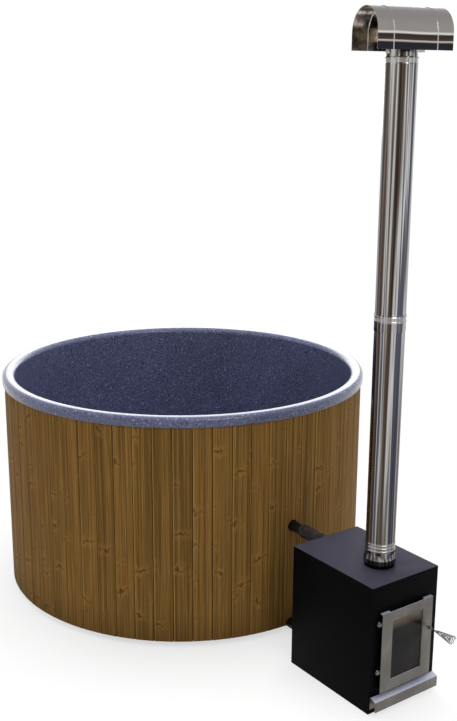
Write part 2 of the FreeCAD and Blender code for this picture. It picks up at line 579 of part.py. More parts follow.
edge = "((seal_band - rope_groove) / 2)"
node(cut("seal_channel",
         picture_frame("channel_ring", "mouth_half", "mouth_low", "mouth_high", "seal_band",
                       door_back, "seal_deep"),
         picture_frame("channel_groove", f"mouth_half + {edge}", f"(mouth_low - {edge})",
                       f"(mouth_high + {edge})", "rope_groove", f"{door_back} + rope_bed",
                       "seal_deep")))
rope_edge = "((seal_band - rope_wide) / 2)"
node(picture_frame("door_seal", f"mouth_half + {rope_edge}", f"(mouth_low - {rope_edge})",
                   f"(mouth_high + {rope_edge})", "rope_wide", f"{door_back} + rope_bed",
                   "door_gap - rope_bed - seal_fit"))
node(picture_frame("glass_gasket", "window_half", "window_low", "window_high", "glass_lap",
                   door_back, "glass_bed"))
node(box("door_glass", ("2 * (window_half + glass_lap)", "glass_thick",
                        "window_high - window_low + 2 * glass_lap"),
         ("-window_half - glass_lap", f"{door_back} + glass_bed", "window_low - glass_lap")))
clips = []
clip_deep = "(glass_bed + glass_thick + clip_sheet)"
for row, foot_z, finger_z in (
        ("top", "window_high + glass_lap + clip_fit", "window_high + glass_lap + clip_fit - clip_foot"),
        ("bottom", "window_low - glass_lap - clip_fit - clip_foot",
         "window_low - glass_lap - clip_fit - clip_foot")):
    for s, x in (("left", "-clip_span / 2 - clip_wide / 2"), ("right", "clip_span / 2 - clip_wide / 2")):
        clips.append(join(
            f"clip_{row}_{s}",
            box(f"clip_foot_{row}_{s}", ("clip_wide", clip_deep, "clip_foot"), (x, door_back, foot_z)),
            box(f"clip_finger_{row}_{s}", ("clip_wide", "clip_sheet", "2 * clip_foot"),
                (x, f"{door_back} + glass_bed + glass_thick", finger_z))))
node(group("glass_clips", *clips))

# Hinges: fixed lugs with pins on the front, door lugs that sit on them
door_lugs, brackets, pins = [], [], []
for n, z in (("high", "hinge_high"), ("low", "hinge_low")):
    lug_z = f"({z} - lug_high / 2)"
    bracket_z = f"({lug_z} - lug_gap - lug_high)"
    door_lugs.append(cut(
        f"door_lug_{n}",
        join(f"lug_{n}_solid",
             rod(f"lug_{n}_nose", "lug_nose", "lug_high", ("-hinge_x", hinge_y, lug_z)),
             box(f"lug_{n}_arm", ("lug_reach", "door_gap - hinge_out + lug_nose", "lug_high"),
                 ("-hinge_x", door_back, lug_z))),
        rod(f"lug_{n}_hole", "pin_radius + pin_fit", "lug_high", ("-hinge_x", hinge_y, lug_z))))
    brackets.append(cut(
        f"bracket_{n}",
        join(f"bracket_{n}_solid",
             rod(f"bracket_{n}_nose", "lug_nose", "lug_high", ("-hinge_x", hinge_y, bracket_z)),
             box(f"bracket_{n}_arm", ("2 * lug_nose", "hinge_out", "lug_high"),
                 ("-hinge_x - lug_nose", hinge_y, bracket_z))),
        rod(f"bracket_{n}_hole", "pin_radius", "lug_high", ("-hinge_x", hinge_y, bracket_z))))
    pins.append(rod(f"pin_{n}", "pin_radius", "2 * lug_high + lug_gap + pin_top",
                    ("-hinge_x", hinge_y, bracket_z)))
node(group("door_lugs", *door_lugs))
node(group("hinge_brackets", *brackets))
node(group("hinge_pins", *pins))

# Latch: spindle with collars, a tongue behind the door and its keeper on the front
tongue_back = f"({front_y} - tongue_gap)"
tongue_face = f"({tongue_back} - tongue_thick)"
collar_face = f"({door_face} - collar_fit - collar_long)"
node(join("latch_spindle",
          rod("spindle_core", "spindle_radius", f"{tongue_back} - {collar_face}",
              ("latch_x", tongue_back, "latch_z"), "-y"),
          rod("spindle_back_collar", "collar_radius", f"{tongue_face} - {door_back} - collar_fit",
              ("latch_x", tongue_face, "latch_z"), "-y"),
          rod("spindle_front_collar", "collar_radius", "collar_long",
              ("latch_x", f"{door_face} - collar_fit", "latch_z"), "-y"),
          rod("spindle_stem", "stem_radius", "stem_long + stem_tail",
              ("latch_x", collar_face, "latch_z"), "-y")))
node(cut("latch_tongue",
         join("tongue_solid", rod("tongue_round", "collar_radius", "tongue_thick",
                                  ("latch_x", tongue_back, "latch_z"), "-y"),
              box("tongue_bar", ("2 * tongue_half", "tongue_thick", "tongue_reach"),
                  ("latch_x - tongue_half", tongue_face, "latch_z"))),
         rod("tongue_hole", "spindle_radius", "tongue_thick", ("latch_x", tongue_back, "latch_z"), "-y")))
lip_back = f"({tongue_face} - keeper_gap)"
node(join("latch_keeper",
          box("keeper_lip", ("keeper_wide", "keeper_sheet", "keeper_high"),
              ("keeper_x", f"{lip_back} - keeper_sheet", "latch_z - keeper_high / 2")),
          box("keeper_riser", ("keeper_sheet", f"{front_y} - {lip_back} + keeper_sheet", "keeper_high"),
              ("keeper_x + keeper_wide - keeper_sheet", f"{lip_back} - keeper_sheet",
               "latch_z - keeper_high / 2")),
          box("keeper_sole", ("keeper_foot", "keeper_sheet", "keeper_high"),
              ("keeper_x + keeper_wide", f"{front_y} - keeper_sheet", "latch_z - keeper_high / 2"))))

# Coil handle: one wire wound on a widening cone, each quarter turn drawn as two tangent arcs
coil_start = -sum((d.clad_radius, d.stove_gap, d.stove_depth, d.door_gap, d.door_plate, d.collar_fit,
                   d.collar_long, d.stem_long))
coil_in = d.stem_radius + d.coil_wire + d.coil_fit
quarters = d.coil_turns * 4


def on_coil(share):
    angle = 2 * math.pi * d.coil_turns * share
    radius = coil_in + (d.coil_end - coil_in) * share
    return V(d.latch_x + radius * math.cos(angle), coil_start - d.coil_long * share,
             d.latch_z + radius * math.sin(angle))


def along_coil(share):
    angle = 2 * math.pi * d.coil_turns * share
    radius = coil_in + (d.coil_end - coil_in) * share
    swell, sweep = d.coil_end - coil_in, 2 * math.pi * d.coil_turns * radius
    way = V(swell * math.cos(angle) - sweep * math.sin(angle), -d.coil_long,
            swell * math.sin(angle) + sweep * math.cos(angle))
    return way.normalize()


def arc_between(start, knee, end):
    middle = (start + end) / 2
    half = (end - start).Length / 2
    lean = math.acos(half / (knee - start).Length)
    return Part.Arc(start, middle + (knee - middle).normalize() * half * math.tan(lean / 2), end).toShape()


first, last = on_coil(0), on_coil(1)
edges = [Part.LineSegment(first - along_coil(0) * 2 * d.coil_wire, first).toShape()]
for q in range(quarters):
    a, b = on_coil(q / quarters), on_coil((q + 1) / quarters)
    ta, tb = along_coil(q / quarters), along_coil((q + 1) / quarters)
    gap, both = b - a, ta + tb
    square, line, rest = 2 * (1 - ta.dot(tb)), 2 * gap.dot(both), -gap.dot(gap)
    reach = (-line + math.sqrt(line * line - 4 * square * rest)) / (2 * square)
    knee_a, knee_b = a + ta * reach, b - tb * reach
    meet = (knee_a + knee_b) / 2
    edges += [arc_between(a, knee_a, meet), arc_between(meet, knee_b, b)]
edges.append(Part.LineSegment(last, last + along_coil(1) * 2 * d.coil_wire).toShape())
wire = Part.Wire(edges)
start = first - along_coil(0) * 2 * d.coil_wire
section = Part.Wire([Part.Circle(start, along_coil(0), d.coil_wire).toShape()])
coil = wire.makePipeShell([section], True, False)
samples = [on_coil(i / (quarters * 6)) for i in range(quarters * 6 + 1)]
least = min((p - q).Length for i, p in enumerate(samples) for q in samples[i + 12:]) - 2 * d.coil_wire
print("coil handle: least gap to itself %.2f mm, volume %.0f against %.0f mm3"
      % (least, coil.Volume, math.pi * d.coil_wire ** 2 * wire.Length))
node(held("latch_handle", coil.Solids[0] if coil.Solids else coil))

# Flue: spigot on the stove, two pipes with beads, cap spigot, arched hood and straps


def beads(radius, centres):
    """Outline corners of rolled beads up the outside of a pipe."""
    corners = []
    for z in centres:
        corners += [(radius, f"{z} - bead_wide / 2"), (f"{radius} + bead_high", f"{z} - bead_flat / 2"),
                    (f"{radius} + bead_high", f"{z} + bead_flat / 2"), (radius, f"{z} + bead_wide / 2")]
    return corners


spigot_top = ("(bell_low + bell_straight + (bell_radius - flue_wall - spigot_radius)"
              " / (bell_radius - flue_radius) * bell_cone)")
node(tube("flue_spigot", "spigot_radius", "spigot_radius - spigot_wall", f"{spigot_top} - fire_high",
          ("0", flue_y, "fire_high")))
lower_pipe = turned("flue_lower", [
    ("bell_radius", "bell_low"), ("bell_radius", "bell_low + bell_straight"),
    ("flue_radius", "bell_low + bell_straight + bell_cone"),
    *beads("flue_radius", [f"bell_low + bell_bead + bead_step * {k}" for k in range(d.bell_beads)]),
    ("flue_radius", "lower_top"), ("flue_radius - flue_wall", "lower_top"),
    ("flue_radius - flue_wall", "bell_low + bell_straight + bell_cone"),
    ("bell_radius - flue_wall", "bell_low + bell_straight"), ("bell_radius - flue_wall", "bell_low")])
node(seat(lower_pipe, ("0", flue_y, "0")))
upper_pipe = turned("flue_upper", [
    ("socket_radius", "socket_low"),
    *beads("socket_radius", [f"socket_low + joint_bead + joint_step * {k}" for k in range(d.joint_beads)]),
    ("socket_radius", "lower_top + flue_wall"), ("flue_radius", "lower_top + socket_neck"),
    ("flue_radius", "upper_top"), ("flue_radius - flue_wall", "upper_top"),
    ("flue_radius - flue_wall", "lower_top"), ("flue_radius + socket_fit", "lower_top"),
    ("flue_radius + socket_fit", "socket_low")])
node(seat(upper_pipe, ("0", flue_y, "0")))
cap_out = "(flue_radius - flue_wall - cap_fit)"
cap_spigot = turned("cap_spigot", [
    (cap_out, "upper_top - cap_tail"), (cap_out, "upper_top"), ("cap_ring", "upper_top"),
    ("cap_ring", "upper_top + cap_ring_high"), (cap_out, "upper_top + cap_ring_high"),
    (cap_out, "upper_top + cap_rise"), (f"{cap_out} - cap_wall", "upper_top + cap_rise"),
    (f"{cap_out} - cap_wall", "upper_top - cap_tail")])
node(seat(cap_spigot, ("0", flue_y, "0")))


def arch(name, radius, sheet, long):
    """Inverted U: half a tube along X with two straight legs, made round the origin."""
    legs_high = "(hood_axis - hood_low)"
    solid = join(name + "_solid",
                 rod(name + "_round", radius, long, (f"-({long}) / 2", "0", "hood_axis"), "x"),
                 box(name + "_legs", (long, f"2 * ({radius})", legs_high),
                     (f"-({long}) / 2", f"-({radius})", "hood_low")))
    room = join(name + "_room",
                rod(name + "_bore", f"({radius}) - ({sheet})", f"{long} + 2 * overrun",
                    (f"-({long}) / 2 - overrun", "0", "hood_axis"), "x"),
                box(name + "_gap", (f"{long} + 2 * overrun", f"2 * ({radius} - ({sheet}))", legs_high),
                    (f"-({long}) / 2 - overrun", f"-({radius} - ({sheet}))", "hood_low")),
                box(name + "_under", (f"{long} + 2 * overrun", f"2 * ({radius} + overrun)",
                                      "hood_radius"),
                    (f"-({long}) / 2 - overrun", f"-({radius} + overrun)", "hood_low - hood_radius")))
    return cut(name, solid, room)


sheet_arch = arch("hood_arch", "hood_radius", "hood_sheet", "hood_long")
ribs = []
for s, sign in (("left", "-"), ("right", "")):
    rib = arch(f"hood_rib_{s}", "hood_radius + rib_high", "rib_high + hood_sheet", "rib_wide")
    bind(rib, Placement__Base__x=f"{sign}rib_step / 2")
    ribs.append(rib)
hood = join("cap_hood", sheet_arch, *ribs)
straps = []
for s, x in (("left", f"-{cap_out} - strap_sheet"), ("right", cap_out)):
    blank = box(f"strap_{s}_blank", ("strap_sheet", "strap_wide", "2 * hood_radius"),
                (x, "-strap_wide / 2", "upper_top + strap_low"))
    inside = rod(f"strap_{s}_limit", "hood_radius - hood_sheet", "strap_sheet",
                 (x, "0", "hood_axis"), "x")
    below = box(f"strap_{s}_below", ("strap_sheet", "strap_wide", "hood_axis - upper_top"),
                (x, "-strap_wide / 2", "upper_top"))
    straps.append(common(f"strap_{s}", blank, join(f"strap_{s}_room", inside, below)))
strap_pair = group("cap_straps", *straps)
for piece in (hood, strap_pair):
    piece.Placement.Rotation = FreeCAD.Rotation(V(0, 0, 1), 0)
    bind(piece, Placement__Base__y=flue_y, Placement__Rotation__Angle="hood_turn")
    node(piece)

doc.recompute()
os.makedirs("parts", exist_ok=True)
for obj in doc.Objects:
    if {"Invalid", "Error"} & set(obj.State):
        raise RuntimeError(f"{obj.Name} is in state {obj.State}")
for obj in nodes:
    if obj.Shape.isNull() or not obj.Shape.isValid() or not obj.Shape.Solids:
        raise RuntimeError(f"{obj.Label} has no valid solid")
    obj.Shape.exportStep(f"parts/{obj.Label}.step")
print(len(nodes), "nodes written")
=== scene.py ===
# %% [markdown]
# # A wood-burning hot tub
# The tub is a moulded shell in a coat of upright boards, and its stove stands outside
# with a tall flue. The measured solids come in as a fixed frame, and this lesson gives
# them their finishes, replaces the round and wound pieces by smoother ones, and breaks
# the sharp edges of sheet and sawn wood.

# %% Load the measured frame
import math
import bpy
import bmesh
from mathutils import Matrix, Vector


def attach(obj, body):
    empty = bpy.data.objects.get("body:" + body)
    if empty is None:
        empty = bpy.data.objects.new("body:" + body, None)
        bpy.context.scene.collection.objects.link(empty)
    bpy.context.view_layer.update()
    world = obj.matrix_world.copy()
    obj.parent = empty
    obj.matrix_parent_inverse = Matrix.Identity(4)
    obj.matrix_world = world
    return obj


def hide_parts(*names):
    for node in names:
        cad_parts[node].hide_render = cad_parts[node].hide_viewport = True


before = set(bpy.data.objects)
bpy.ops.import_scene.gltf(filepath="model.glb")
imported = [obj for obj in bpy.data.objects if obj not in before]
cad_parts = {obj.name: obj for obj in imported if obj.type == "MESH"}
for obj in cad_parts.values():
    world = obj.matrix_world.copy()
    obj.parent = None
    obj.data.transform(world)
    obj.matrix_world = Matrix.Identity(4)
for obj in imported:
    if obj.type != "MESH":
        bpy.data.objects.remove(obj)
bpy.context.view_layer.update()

# %% [markdown]
# ## Where the camera stands
# A camera that matches a photograph is found once, from the ellipses of the rim and the
# base and the corners of the stove. Here its place, turn and focal length are written
# down, and the turn is built from three plain directions: right, up and back.

# %% Camera
PHOTO = (457, 721)
FOCAL_PX, AXIS_PX = 1031.98, (226.0, 359.6)
EYE_AT = (-2.6388, -4.0375, 2.2826)
azimuth, pitch, roll = (math.radians(v) for v in (-35.591, 14.322, -0.229))
forward = Vector((-math.sin(azimuth) * math.cos(pitch), math.cos(azimuth) * math.cos(pitch),
                  -math.sin(pitch)))
right = Vector((math.cos(azimuth), math.sin(azimuth), 0.0))
down = forward.cross(right)
right, down = (right * math.cos(roll) + down * math.sin(roll),
               down * math.cos(roll) - right * math.sin(roll))
eye = bpy.data.cameras.new("eye")
eye.sensor_width = 36.0
eye.lens = FOCAL_PX * eye.sensor_width / max(PHOTO)
eye.shift_x = (PHOTO[0] / 2 - AXIS_PX[0]) / max(PHOTO)
eye.shift_y = (AXIS_PX[1] - PHOTO[1] / 2) / max(PHOTO)
camera = bpy.data.objects.new("eye", eye)
camera.matrix_world = Matrix((
    (right.x, -down.x, -forward.x, EYE_AT[0]),
    (right.y, -down.y, -forward.y, EYE_AT[1]),
    (right.z, -down.z, -forward.z, EYE_AT[2]),
    (0, 0, 0, 1)))
bpy.context.scene.collection.objects.link(camera)
bpy.context.scene.camera = camera
print("lens", round(eye.lens, 2), "mm")

# %% [markdown]
# ## Hands for wiring nodes
# Every finish is a small net of shader nodes, and wiring them one by one hides the idea. A
# thin class adds a node, sets or links its inputs, and hands the output back, so that a
# finish reads like a formula. Colours are written as a screen shows them.

# %% Node hands
def linear(*srgb):
    """Screen colour, 0 to 255, as scene-linear values."""
    return tuple((v / 255 / 12.92) if v <= 10 else ((v / 255 + 0.055) / 1.055) ** 2.4
                 for v in srgb) + (1.0,)


class Tree:
    """Small hand for wiring shader nodes."""

    def __init__(self, tree):
        self.tree = tree

    def add(self, kind, inputs=None, **props):
        made = self.tree.nodes.new(kind)
        for key, value in props.items():
            setattr(made, key, value)
        for key, value in (inputs or {}).items():
            self.put(made.inputs[key], value)
        return made

    def put(self, socket, value):
        if isinstance(value, bpy.types.NodeSocket):
            self.tree.links.new(value, socket)
        else:
            socket.default_value = value

    def math(self, operation, *values):
        made = self.tree.nodes.new("ShaderNodeMath")
        made.operation = operation
        for socket, value in zip(made.inputs, values):
            self.put(socket, value)
        return made.outputs[0]

    def mix(self, share, a, b, blend="MIX"):
        made = self.add("ShaderNodeMix", data_type="RGBA", blend_type=blend)
        for name, value in (("Factor_Float", share), ("A_Color", a), ("B_Color", b)):
            self.put(next(s for s in made.inputs if s.identifier == name), value)
        return next(s for s in made.outputs if s.identifier == "Result_Color")

    def ramp(self, value, *stops):
        made = self.add("ShaderNodeValToRGB", {"Fac": value})
        band = made.color_ramp.elements
        while len(band) < len(stops):
            band.new(0.5)
        for element, (at, colour) in zip(band, stops):
            element.position = at
            element.color = colour if len(colour) == 4 else (*colour, 1)
        return made.outputs["Color"]

    def span(self, value, low, high, to_low=0.0, to_high=1.0):
        made = self.add("ShaderNodeMapRange", {"Value": value, "From Min": low, "From Max": high,
                                               "To Min": to_low, "To Max": to_high})
        made.clamp = True
        return made.outputs[0]


print("a mid grey of 128 is", round(linear(128)[0], 3), "in scene-linear values")

# %% [markdown]
# ## Dome
# The photograph has a bare white ground and no room around it. A white dome lights all sides
# softly, more from overhead than from the horizon, as an open sky does. The camera and the
# mirror-like metals see it as plain white, whatever light it gives.

# %% Dome
scene = bpy.context.scene
scene.view_settings.view_transform = "Standard"
HORIZON, OVERHEAD = 0.4, 0.85
world = bpy.data.worlds.new("sky")
scene.world = world
world.use_nodes = True
world.node_tree.nodes.clear()
sky = Tree(world.node_tree)
path = sky.add("ShaderNodeLightPath")
plain_ray = sky.math("MAXIMUM", path.outputs["Is Camera Ray"],
                     sky.math("MAXIMUM", path.outputs["Is Glossy Ray"], path.outputs["Is Transmission Ray"]))
toward = sky.add("ShaderNodeTexCoord").outputs["Generated"]
upward = sky.add("ShaderNodeSeparateXYZ", {"Vector": toward}).outputs["Z"]
soft = sky.span(upward, 0.0, 0.8, HORIZON, OVERHEAD)
dome = sky.add("ShaderNodeBackground", {"Color": (1, 1, 1, 1),
                                        "Strength": sky.math("MAXIMUM", plain_ray, soft)})
sky.add("ShaderNodeOutputWorld", {"Surface": dome.outputs[0]})
print("dome from", HORIZON, "at the horizon to", OVERHEAD, "overhead")

# %% [markdown]
# ## Floor
# The floor is one pale sheet. Near the tub it keeps the soft shadow that makes the tub stand
# on something, and further out it fades to plain white, so that no horizon line shows.

# %% Floor
PALE, SHADOW_CENTRE = (0.78, 0.78, 0.78, 1), (0, -0.55, 0)
ground = bpy.data.meshes.new("ground")
ground.from_pydata([(-14, -14, 0), (14, -14, 0), (14, 14, 0), (-14, 14, 0)], [], [(0, 1, 2, 3)])
floor = bpy.data.objects.new("ground", ground)
scene.collection.objects.link(floor)
chalk = bpy.data.materials.new("chalk_floor")
chalk.use_nodes = True
t = Tree(chalk.node_tree)
matt = chalk.node_tree.nodes["Principled BSDF"]
matt.inputs["Base Color"].default_value = PALE
matt.inputs["Roughness"].default_value = 0.9
rays = t.add("ShaderNodeLightPath").outputs
seen = t.math("MAXIMUM", rays["Is Camera Ray"],
              t.math("MAXIMUM", rays["Is Glossy Ray"], rays["Is Transmission Ray"]))
spot = t.add("ShaderNodeTexCoord").outputs["Object"]
away = t.add("ShaderNodeVectorMath", {0: spot, 1: SHADOW_CENTRE}, operation="DISTANCE").outputs["Value"]
far_white = t.math("MULTIPLY", seen, t.span(away, 0.7, 2.2, 0.62, 1.0))
glow = t.add("ShaderNodeEmission", {"Strength": 1.0})
both = t.add("ShaderNodeMixShader", {0: far_white, 1: matt.outputs[0], 2: glow.outputs[0]})
t.put(chalk.node_tree.nodes["Material Output"].inputs["Surface"], both.outputs[0])
ground.materials.append(chalk)
print("floor", floor.dimensions.x, "m wide")


# %% [markdown]
# ## Lamps
# Three big soft lamps: one in front for the stove and the boards, one overhead for the inside
# of the tub, and one far behind, which the rolled rim mirrors as a bright line. The lamp
# overhead isn't mirrored, so that the hood's top stays grey, and the camera doesn't see the
# one behind.

# %% Lamps
def lamp(name, place, target, size, power):
    data = bpy.data.lights.new(name, "AREA")
    data.shape = "RECTANGLE"
    data.size, data.size_y = size
    data.energy = power
    made = bpy.data.objects.new(name, data)
    made.location = place
    made.rotation_euler = (Vector(target) - Vector(place)).to_track_quat("-Z", "Y").to_euler()
    scene.collection.objects.link(made)
    return made


lamp("key", (-0.8, -6.0, 5.4), (0, 0, 0.5), (3.0, 3.0), 110)
lamp("top", (0.6, 0.4, 6.0), (0, 0, 0.5), (4.0, 4.0), 370).visible_glossy = False
lamp("back", (3.8, 5.3, 3.2), (0, 0, 1.0), (5.0, 2.8), 95).visible_camera = False

# %% [markdown]
# ## Making and wearing a finish
# A finish starts from the Principled shader, with the values that are the same all over set
# on its own sockets. A measured piece whose shape is right stays, and only wears a new finish.

# %% Finish and wear
def finish(name, **values):
    made = bpy.data.materials.new(name)
    made.use_nodes = True
    shader = made.node_tree.nodes["Principled BSDF"]
    for key, value in values.items():
        shader.inputs[key.replace("_", " ")].default_value = value
    return made, Tree(made.node_tree), shader


def wear(material, *names):
    """Put one finish on carried-over CAD nodes."""
    for name in names:
        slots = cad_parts[name].data.materials
        slots.clear()
        slots.append(material)


print(len(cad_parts), "measured nodes wait for a finish")

# %% [markdown]
# ## Shared effects as node groups
# Real surfaces are never one flat colour. Three small groups serve all the finishes:
# fine speckle for moulded plastic and stone-like paint, long streaks for rolled metal,
# and soft blotches for dust and age and for painted patchy reflections. Each gives out masks, which a finish
# mixes as it likes.

# %% Node groups
def group(name, inputs, outputs):
    made = bpy.data.node_groups.new(name, "ShaderNodeTree")
    for label, kind, value in inputs:
        socket = made.interface.new_socket(label, in_out="INPUT", socket_type=kind)
        if value is not None:
            socket.default_value = value
    for label, kind in outputs:
        made.interface.new_socket(label, in_out="OUTPUT", socket_type=kind)
    hand = Tree(made)
    return made, hand, hand.add("NodeGroupInput").outputs, hand.add("NodeGroupOutput").inputs


FLOAT, VECTOR = "NodeSocketFloat", "NodeSocketVector"
speckle, t, ins, outs = group("fine_speckle", [("Where", VECTOR, None), ("Size", FLOAT, 0.003),
                                               ("Amount", FLOAT, 0.4)], [("Pale", FLOAT), ("Dark", FLOAT)])
per_size = t.math("DIVIDE", 1.0, ins["Size"])
grit = t.add("ShaderNodeTexNoise", {"Vector": ins["Where"], "Scale": per_size, "Detail": 2.0,
                                    "Roughness": 0.7}).outputs["Fac"]
raised = t.math("ADD", grit, t.span(ins["Amount"], 0, 1, -0.25, 0.25))
t.put(outs["Pale"], t.span(raised, 0.5, 0.68))
t.put(outs["Dark"], t.span(grit, 0.46, 0.3))

streak, t, ins, outs = group("rolled_streak", [("Where", VECTOR, None), ("Fine", FLOAT, 900.0),
                                               ("Broad", FLOAT, 18.0)], [("Fine", FLOAT), ("Broad", FLOAT)])
for label in ("Fine", "Broad"):
    lines = t.add("ShaderNodeTexNoise", {"Vector": ins["Where"], "Scale": ins[label], "Detail": 3.0})
    t.put(outs[label], lines.outputs["Fac"])

blotch, t, ins, outs = group("soft_blotch", [("Where", VECTOR, None), ("Scale", FLOAT, 4.0)], [("Mask", FLOAT)])
cloud = t.add("ShaderNodeTexNoise", {"Vector": ins["Where"], "Scale": ins["Scale"], "Detail": 5.0,
                                     "Roughness": 0.6})
t.put(outs["Mask"], t.span(cloud.outputs["Fac"], 0.35, 0.7))


def use(hand, tree, **inputs):
    made = hand.add("ShaderNodeGroup", node_tree=tree)
    for key, value in inputs.items():
        hand.put(made.inputs[key], value)
    return made.outputs


def here(hand, scale=(1, 1, 1)):
    """Object coordinates, stretched where a pattern runs along one axis."""
    at = hand.add("ShaderNodeTexCoord").outputs["Object"]
    if scale == (1, 1, 1):
        return at
    return hand.add("ShaderNodeMapping", {"Vector": at, "Scale": scale}).outputs[0]


def bump(hand, height, distance, strength=1.0):
    return hand.add("ShaderNodeBump", {"Height": height, "Distance": distance, "Strength": strength}).outputs[0]


print("groups:", [g.name for g in bpy.data.node_groups])

# %% [markdown]
# ## The moulded shell
# The shell is rotation-moulded plastic, a navy that is sprinkled with pale and dark grains
# of some millimetres and finer ones between them. A clear skin over the colour mirrors little
# from straight ahead and much at a low angle, so that the rolled rim catches the light.

# %% Shell finish
shell_finish, t, shader = finish("speckled_moulding", Roughness=0.3, Specular_IOR_Level=0.22, Coat_Weight=1.0,
                                 Coat_Roughness=0.2, Coat_IOR=1.3)
at = here(t)
grains = use(t, speckle, Where=at, Size=0.009, Amount=0.32)
fine = use(t, speckle, Where=at, Size=0.0035, Amount=0.25)
navy = t.mix(use(t, blotch, Where=at, Scale=2.5)["Mask"], linear(67, 71, 97), linear(77, 81, 110))
navy = t.mix(t.math("MULTIPLY", grains["Dark"], 0.95), navy, linear(18, 19, 32))
navy = t.mix(t.math("MULTIPLY", grains["Pale"], 0.9), navy, linear(150, 155, 182))
navy = t.mix(t.math("MULTIPLY", fine["Pale"], 0.6), navy, linear(150, 154, 176))
t.put(shader.inputs["Base Color"], navy)
t.put(shader.inputs["Normal"], bump(t, grains["Pale"], 0.0003, 0.5))
print("shell finish ready")

# %% [markdown]
# ## The boards
# Heat-treated softwood: each board has its own tone, long grain with darker late wood, a
# few knots, and a shadowed joint to its neighbours. The pattern is laid out flat: across
# the board, up the board, and the board's own number, which the angle round the tub gives.

# %% Laying the boards out flat
BOARDS = 64
wood_finish, t, shader = finish("heat_treated_boards", Specular_IOR_Level=0.03)
at = here(t)
xyz = t.add("ShaderNodeSeparateXYZ", {"Vector": at}).outputs
turns = t.math("MULTIPLY", t.math("ARCTAN2", xyz["Y"], xyz["X"]), BOARDS / (2 * math.pi))
number = t.math("FLOOR", t.math("ADD", turns, 0.5))
across = t.math("SUBTRACT", turns, number)
own = t.add("ShaderNodeTexWhiteNoise", {"W": number}, noise_dimensions="1D").outputs
flat = t.add("ShaderNodeCombineXYZ", {"X": across, "Y": xyz["Z"],
                                      "Z": t.math("MULTIPLY", number, 3.7)}).outputs[0]


def stretched(x, y):
    return t.add("ShaderNodeMapping", {"Vector": flat, "Scale": (x, y, 1)}).outputs[0]


def grain(x, y, scale, detail, rough=0.5):
    return t.add("ShaderNodeTexNoise", {"Vector": stretched(x, y), "Scale": scale, "Detail": detail,
                                        "Roughness": rough}).outputs["Fac"]


wander, stir, broken = grain(2.2, 0.6, 1.3, 2.0), grain(5.0, 26.0, 1.0, 3.0), grain(14.0, 150.0, 1.0, 2.0)
fibre, broad = grain(20.0, 0.8, 3.0, 6.0, 0.7), grain(5.5, 0.35, 1.6, 3.0)
print("five grain patterns for", BOARDS, "boards")

# %% [markdown]
# ### Knots
# A branch that was sawn lengthwise shows as a thin dark gull, with a heart in the middle and
# two wings. Cells scattered up each board give every knot its place and its chance, and the
# distance to the middle of the cell draws the wings, bent and broken by noise.

# %% Knots
along = t.math("MULTIPLY", t.math("ADD", xyz["Z"], t.math("MULTIPLY", number, 5.37)), 6.0)
along = t.math("ADD", along, t.span(stir, 0.2, 0.8, -0.13, 0.13))
sheet = t.add("ShaderNodeCombineXYZ", {"X": t.math("MULTIPLY", across, 0.62), "Y": along}).outputs[0]
field = t.add("ShaderNodeTexVoronoi", {"Vector": sheet, "Scale": 1.0, "Randomness": 1.0},
              voronoi_dimensions="2D").outputs
from_knot = t.add("ShaderNodeVectorMath", {0: sheet, 1: field["Position"]}, operation="SUBTRACT")
gap = t.add("ShaderNodeSeparateXYZ", {"Vector": from_knot.outputs[0]}).outputs
chance = t.add("ShaderNodeSeparateColor", {"Color": field["Color"]}).outputs
wing_span = t.math("ABSOLUTE", gap["X"])
lift = t.math("ADD", t.math("MULTIPLY", wing_span, t.span(chance[1], 0, 1, -0.25, 0.4)),
              t.math("MULTIPLY", gap["X"], t.span(chance[2], 0, 1, -0.4, 0.4)))
wing = t.math("ABSOLUTE", t.math("SUBTRACT", gap["Y"], lift))
there = t.math("GREATER_THAN", chance[0], 0.38)
reach = t.math("MULTIPLY", t.span(wing_span, t.span(chance[2], 0, 1, 0.22, 0.6), 0.06), there)
gull = t.math("MULTIPLY", t.span(wing, 0.05, 0.014), reach)
knot = t.math("MULTIPLY", gull, t.span(broken, 0.3, 0.55, 0.25, 1.0))
heart = t.math("MULTIPLY", t.span(t.math("ADD", t.math("MULTIPLY", wing_span, 0.8), wing), 0.085, 0.045), there)
knot = t.math("MAXIMUM", knot, heart)
halo = t.math("MULTIPLY", t.span(wing, 0.2, 0.04), reach)
print("knots: dark heart and wings, pale halo")

# %% [markdown]
# ### Colours of the wood
# The tones go on in layers, as stain does: the board's own tone, broad pale and dark bands,
# late wood, fibres, knots, a painted highlight along one edge of each board, the dark joint,
# and a darkening towards the bottom.

# %% Colours of the wood
rings = t.math("ADD", t.math("MULTIPLY", across, 7.0),
               t.math("ADD", t.math("MULTIPLY", wander, 9.0), t.math("MULTIPLY", halo, 0.7)))
late = t.math("POWER", t.math("ABSOLUTE", t.math("SINE", t.math("MULTIPLY", rings, 3.1))), 3.0)
tone = t.mix(own["Value"], linear(98, 74, 34), linear(122, 89, 45))
tone = t.mix(t.span(broad, 0.42, 0.62, 0.0, 0.8), tone, linear(132, 99, 50))
tone = t.mix(t.math("MULTIPLY", t.span(broad, 0.46, 0.34), 0.65), tone, linear(80, 57, 26))
tone = t.mix(t.math("MULTIPLY", late, 0.32), tone, linear(66, 45, 20))
tone = t.mix(t.math("MULTIPLY", t.span(fibre, 0.5, 0.64), 0.75), tone, linear(64, 44, 20))
tone = t.mix(t.math("MULTIPLY", t.span(fibre, 0.46, 0.34), 0.55), tone, linear(160, 124, 66))
tone = t.mix(t.math("MULTIPLY", halo, 0.22), tone, linear(168, 124, 66))
tone = t.mix(t.math("MULTIPLY", knot, 0.72), tone, linear(44, 27, 12))
# Painted highlight: one edge of each board is made paler, as a chamfer catching the light looks.
ragged = t.math("ADD", across, t.span(stir, 0, 1, -0.012, 0.012))
